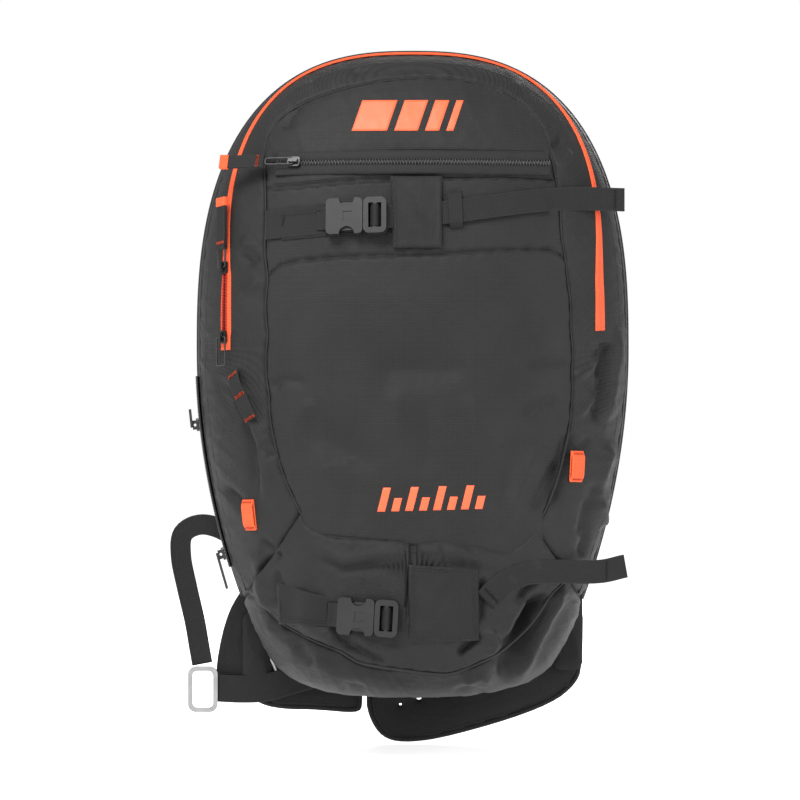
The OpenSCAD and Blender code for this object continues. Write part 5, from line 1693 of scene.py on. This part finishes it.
# Webbing of the harness: load lifters at the top, adjusters at the bottom, and the haul loop
ribbons = []
for s in (-1, 1):
    for line, hint in (([(56, 67.6, 440), (57, 65, 456), (59, 56, 486), (62, 22, 526), (65, 0, 534),
                         (66, -7.2, 527), (66, -8.8, 519), (66, -8.8, 510)], 0),
                       ([(113.8, 21, 191.4), (119, 13, 170), (125, 0, 149), (127, -7.2, 140),
                         (128, -8.8, 132), (128, -8.8, 122)], 0.2)):
        path = smooth_path([(s * x, y, z) for x, y, z in line], 6)
        ribbons.append(strap_parts(path, unit(np.cross(tangents(path), np.array([1.0, 0, hint * s]))),
                                   STRAP_W, STRAP_T))
harness = joined("harness_webbing_straps", ribbons, black_webbing)
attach(harness, "pack")
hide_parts("harness_webbing")
path = smooth_path([(-34, -0.7, 507), (-33, -0.7, 522), (-25, -0.7, 540), (0, -0.7, 548), (25, -0.7, 540),
                    (33, -0.7, 522), (34, -0.7, 507)], 8)
haul = joined("haul_loop_webbing",
              [strap_parts(path, unit(np.cross(tangents(path), np.array([0, 1.0, 0]))), 18, 2.0)],
              black_webbing)
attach(haul, "pack")
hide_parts("haul_loop")
finish_node(["ladder_locks"], buckle_plastic, bevel=0.8)

# Sternum strap: webbing through a small buckle, with a moulded clip on each shoulder strap
for side, name, body in ((-1, "sternum_strap_left", "sternum_left"),
                         (1, "sternum_strap_right", "sternum_right")):
    path = np.array([(side * x, 76 + 0.25 * math.sin(x * 0.5), 385) for x in np.linspace(26.2, 56, 14)])
    web = joined(name + "_webbing", [strap_parts(path, [0, 1.0, 0], 19.6, 1.8)], black_webbing)
    ring = block_outline(17.6, 25.6, 3.4, side * 65.3, 385)
    clip = joined(name + "_clip", [pad_parts(ring, 72.5, 76.3, rim=0.8)], buckle_plastic)
    for piece, slot in ((web, "webbing"), (clip, "buckle")):
        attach(piece, body)
    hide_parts(name)
finish_node(["sternum_socket", "sternum_plug"], buckle_plastic, bevel=0.7)

# Trigger: a padded cloth pouch on the left strap with the moulded handle in it.
# Its steel cable runs to the cylinder
TRIGGER_TOP = np.array([-74, 73.8, 352])
trigger = axes_of([-10, -6, -40], [0.1, 1, -0.14])
shape = np.array(block_outline(59, 41, 9, 22, 0))
pouch_runs = []
for low, high in ((0.2, 3.4), (11.6, 14.9)):
    p, f, l = pad_parts(shape, low, high, rim=0.5)
    pouch_runs.append((np.stack([p[:, 0], p[:, 2], p[:, 1]], -1) @ trigger.T + TRIGGER_TOP,
                       [t[::-1] for t in f], l))
wall = np.concatenate([shape, shape[:1]])
for keep in (wall[:, 1] > 14, wall[:, 1] < -14):
    side_wall = wall[keep]
    side_wall = side_wall[np.argsort(side_wall[:, 0])]
    line = np.stack([side_wall[:, 0], side_wall[:, 1] * 0.93, np.full(len(side_wall), 7.5)], -1)
    pouch_runs += placed([tube_parts(line, 13, 10, flat=0.24, face=np.array([0, 1.0, 0]))], trigger,
                         TRIGGER_TOP)
pouch = joined("trigger_pouch_cloth", pouch_runs, pad_cloth)
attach(pouch, "pack")
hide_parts("trigger_pouch")
orange_plastic = plastic_shade("handle_orange", (0.60, 0.060, 0.020, 1), (0.82, 0.115, 0.036, 1), 0.40,
                               coat=0.2)
finish_node(["trigger_handle"], orange_plastic, bevel=1.4)


def sheath_shade():
    s = Shade("cable_sheath")
    place = s.node("ShaderNodeTexCoord", None, None, "Object")
    fine = s.noise(place, 700.0, 4.0)
    wide = s.noise(place, 50.0, 3.0)
    return s.surface(s.mix(wide * 0.7 + fine * 0.2, grey(0.02), grey(0.075)), 0.5 + fine * 0.1,
                     [(fine, 0.00006)], specular=0.4)


sheath = sheath_shade()
finish_node(["trigger_cable"], sheath)

# ---- Hip belt ----
# Two padded wings folded in behind the base, bound with wide tape, on stiff roots.
# The left root carries a triangular stabiliser
def middle_in(points, gap):
    """An outline drawn in by a small gap towards its middle."""
    centre = points.mean(0)
    away = points - centre
    return centre + away * (1 - gap / np.linalg.norm(away, axis=1, keepdims=True))


def soften(points, times=2):
    for _ in range(times):
        nxt = np.roll(points, -1, 0)
        points = np.stack([points * 0.75 + nxt * 0.25, points * 0.25 + nxt * 0.75], 1).reshape(-1, 2)
    return points


RIGHT_WING = [(150, 92), (150, 20), (144, 6), (125, -10), (74, -30), (23, -43), (-11, -46), (-28, -41),
              (-38, -26), (-42, -8),
              (-36, 14), (-18, 30), (40, 58), (110, 90)]
LEFT_WING = [(-150, 88), (-150, 4), (-140, -10), (-118, -17), (-80, -18), (-46, -20), (-44, -14), (-44, 8),
             (-48, 22), (-60, 40),
             (-84, 62), (-116, 86)]
for shape, name, lines in ((RIGHT_WING, "hip_wing_right", [((-10, -12), (120, 30)), ((0, 18), (118, 62))]),
                           (LEFT_WING, "hip_wing_left", [((-128, 10), (-66, 6)), ((-130, 40), (-80, 34))])):
    outline = soften(np.array(shape, float))
    thick = (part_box(name)[1].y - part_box(name)[0].y) * 1000
    wing = joined(name + "_pad", [pad_parts(middle_in(outline, 0.6), 3.6, 2.6 + thick, rim=0.42,
                                            channels=lines)], wing_cloth)
    swell(wing, 3.0, 1.4)
    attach(wing, name)
    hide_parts(name)
    rim_line = np.concatenate([outline, outline[:1]])
    path = np.stack([rim_line[:, 0], np.full(len(rim_line), 3 + thick / 2), rim_line[:, 1]], -1)[:-1]
    centre = path.mean(0)
    inner = unit((centre - path) * [1, 0, 1])
    rim_parts = tube_parts(path + inner * 3.0, 5.4, 10, closed=True, flat=1.0)
    edge_tape = joined(name + "_binding", [rim_parts], black_webbing)
    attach(edge_tape, name)
    runs = thread_parts(path + inner * 6.6 + [0, -thick / 2 + 0.9, 0], np.array([0, -1.0, 0]), pitch=3.8,
                        length=2.8)
    sewn = joined(name + "_stitching", runs, black_thread)
    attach(sewn, name)
roots = [pad_parts(block_outline(25.4, 75.4, 8, -136, 32), -9.5, 2.4, rim=0.5),
         pad_parts(block_outline(25.4, 73.4, 8, 136, 55), -9.5, 2.4, rim=0.5)]
root = joined("belt_root_pads", roots, wing_cloth)
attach(root, "pack")
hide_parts("belt_roots")
three = soften(np.array([(-165, 62), (-174, 12), (-167, -1), (-140, -6), (-140, 92), (-150, 90)], float), 2)
stay = joined("belt_stabiliser_cloth", [pad_parts(three, -2.9, -1.1, rim=0.6)], wing_cloth)
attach(stay, "pack")
path = smooth_path([(-84, -8.8, 16), (-108, -8.8, 9), (-130, -8.8, 3), (-150, -8.8, 2), (-171, -8.8, 3)], 6)
web = [strap_parts(path, [0, -1.0, 0], 24, 1.9)]
belt_web = joined("hip_webbing_strap", web, black_webbing)
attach(belt_web, "pack")
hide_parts("hip_webbing")
finish_node(["hip_buckle"], steel_wire, bevel=1.3)
finish_node(["leg_hook"], steel_wire)
y = -8.8
path = smooth_path([(-142, y, 104), (-148, y, 123), (-162, y + 1, 139), (-184, y + 3, 146),
                    (-201, y + 5, 138), (-203, y + 6, 118),
                    (-198, y + 6, 92), (-191, y + 5, 62), (-187, y + 2.6, 40), (-184, y + 0.6, 24)], 6)
leg = joined("leg_strap_webbing", [strap_parts(path, [0, -1.0, 0], 18, 1.9)], black_webbing)
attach(leg, "pack")
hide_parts("leg_strap")


# ---- Inside: frame, folded airbag and its cylinder ----
# The airbag is thin coated nylon in accordion folds, packed along the arch.
# The cylinder, valve head and ejector feed it
def bag_shade():
    s = Shade("coated_airbag_cloth")
    lay, across, along, edge = lay_axes(s)
    grid = ((1 - abs((across * 0.9).sine())) ** 10).at_least((1 - abs((along * 0.9).sine())) ** 10)
    cloud = s.noise(lay, 0.04, 5.0)
    return s.surface(s.mix((cloud * 0.6 + grid * 0.3).at_most(1), (0.55, 0.10, 0.02, 1),
                           (0.85, 0.22, 0.045, 1)), 0.45 + cloud * 0.15,
                     [(grid, 0.00012), (cloud, 0.0015)], coat=0.1, specular=0.3)


arch = np.radians(np.linspace(14.5, 165.5, 150))
turns_round = np.linspace(0, 2 * math.pi, 41)[:-1]
low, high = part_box("airbag")
bag_d = (high.y - low.y) * 1000
bag_y = (high.y + low.y) * 500
bag_half = abs(reach(np.array([math.pi / 2]), 1.0)[0] - 38 + SHOULDER - high.z * 1000 + FLOOR)
rings = []
for a in arch:
    r = reach(np.array([a]), 1.0)[0] - 38
    fold = 0.90 + 0.07 * np.sin(turns_round * 9 + 5 * math.sin(a * 6)) + 0.03 * np.sin(a * 60 + turns_round * 3)
    rr = r + bag_half * np.cos(turns_round) * fold
    rings.append(np.stack([rr * math.cos(a), bag_y + bag_d / 2 * np.sin(turns_round) * fold,
                           SHOULDER + rr * math.sin(a)], -1))
rings = np.array(rings)
lay = stack(np.broadcast_to(turns_round * 20, rings.shape[:2]),
            np.broadcast_to((arch * 180)[:, None], rings.shape[:2]), 60.0)
count = len(turns_round)
faces = grid_faces(len(arch), count, 0, True) + [tuple(range(count)),
                                                 tuple(range((len(arch) - 1) * count,
                                                             len(arch) * count))[::-1]]
folded = make_object("folded_airbag", rings.reshape(-1, 3), faces, bag_shade(), lay.reshape(-1, 3))
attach(folded, "pack")
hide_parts("airbag")
finish_node(["frame_sheet"], plastic_shade("frame_sheet_plastic", grey(0.015), grey(0.04), 0.5), bevel=0.3)
finish_node(["frame_stays"], metal_shade("stay_aluminium", grey(0.45), grey(0.66), 0.34), bevel=0.4)
finish_node(["gas_cylinder"], metal_shade("cylinder_aluminium", grey(0.40), grey(0.62), 0.3, 0.6))
finish_node(["cylinder_head"],
            metal_shade("valve_brass", (0.46, 0.29, 0.09, 1), (0.72, 0.50, 0.20, 1), 0.26), bevel=0.6)
finish_node(["ejector"], plastic_shade("ejector_plastic", grey(0.014), grey(0.045), 0.44), bevel=0.5)
finish_node(["air_hose"], sheath)

# Floor: a plain pale board under the pack
floor_z = min(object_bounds()[0].z, -0.3352) - 0.002
plate = bpy.data.meshes.new("pale_floor")
plate.from_pydata([(-6, -5, floor_z), (6, -5, floor_z), (6, 6, floor_z), (-6, 6, floor_z)], [],
                  [(0, 1, 2, 3)])
floor_finish = Shade("pale_floor_paint")
place = floor_finish.node("ShaderNodeTexCoord", None, None, "Object")
cloud = floor_finish.noise(place, 2.0, 3.0)
plate.materials.append(floor_finish.surface(floor_finish.mix(cloud, grey(0.86), grey(0.9)), 0.7,
                                            specular=0.1))
board_shader = plate.materials[0].node_tree.nodes["Principled BSDF"]
board_shader.inputs["Emission Color"].default_value = (1, 1, 1, 1)
board_shader.inputs["Emission Strength"].default_value = 0.7
floor = bpy.data.objects.new("pale_floor", plate)
bpy.context.collection.objects.link(floor)
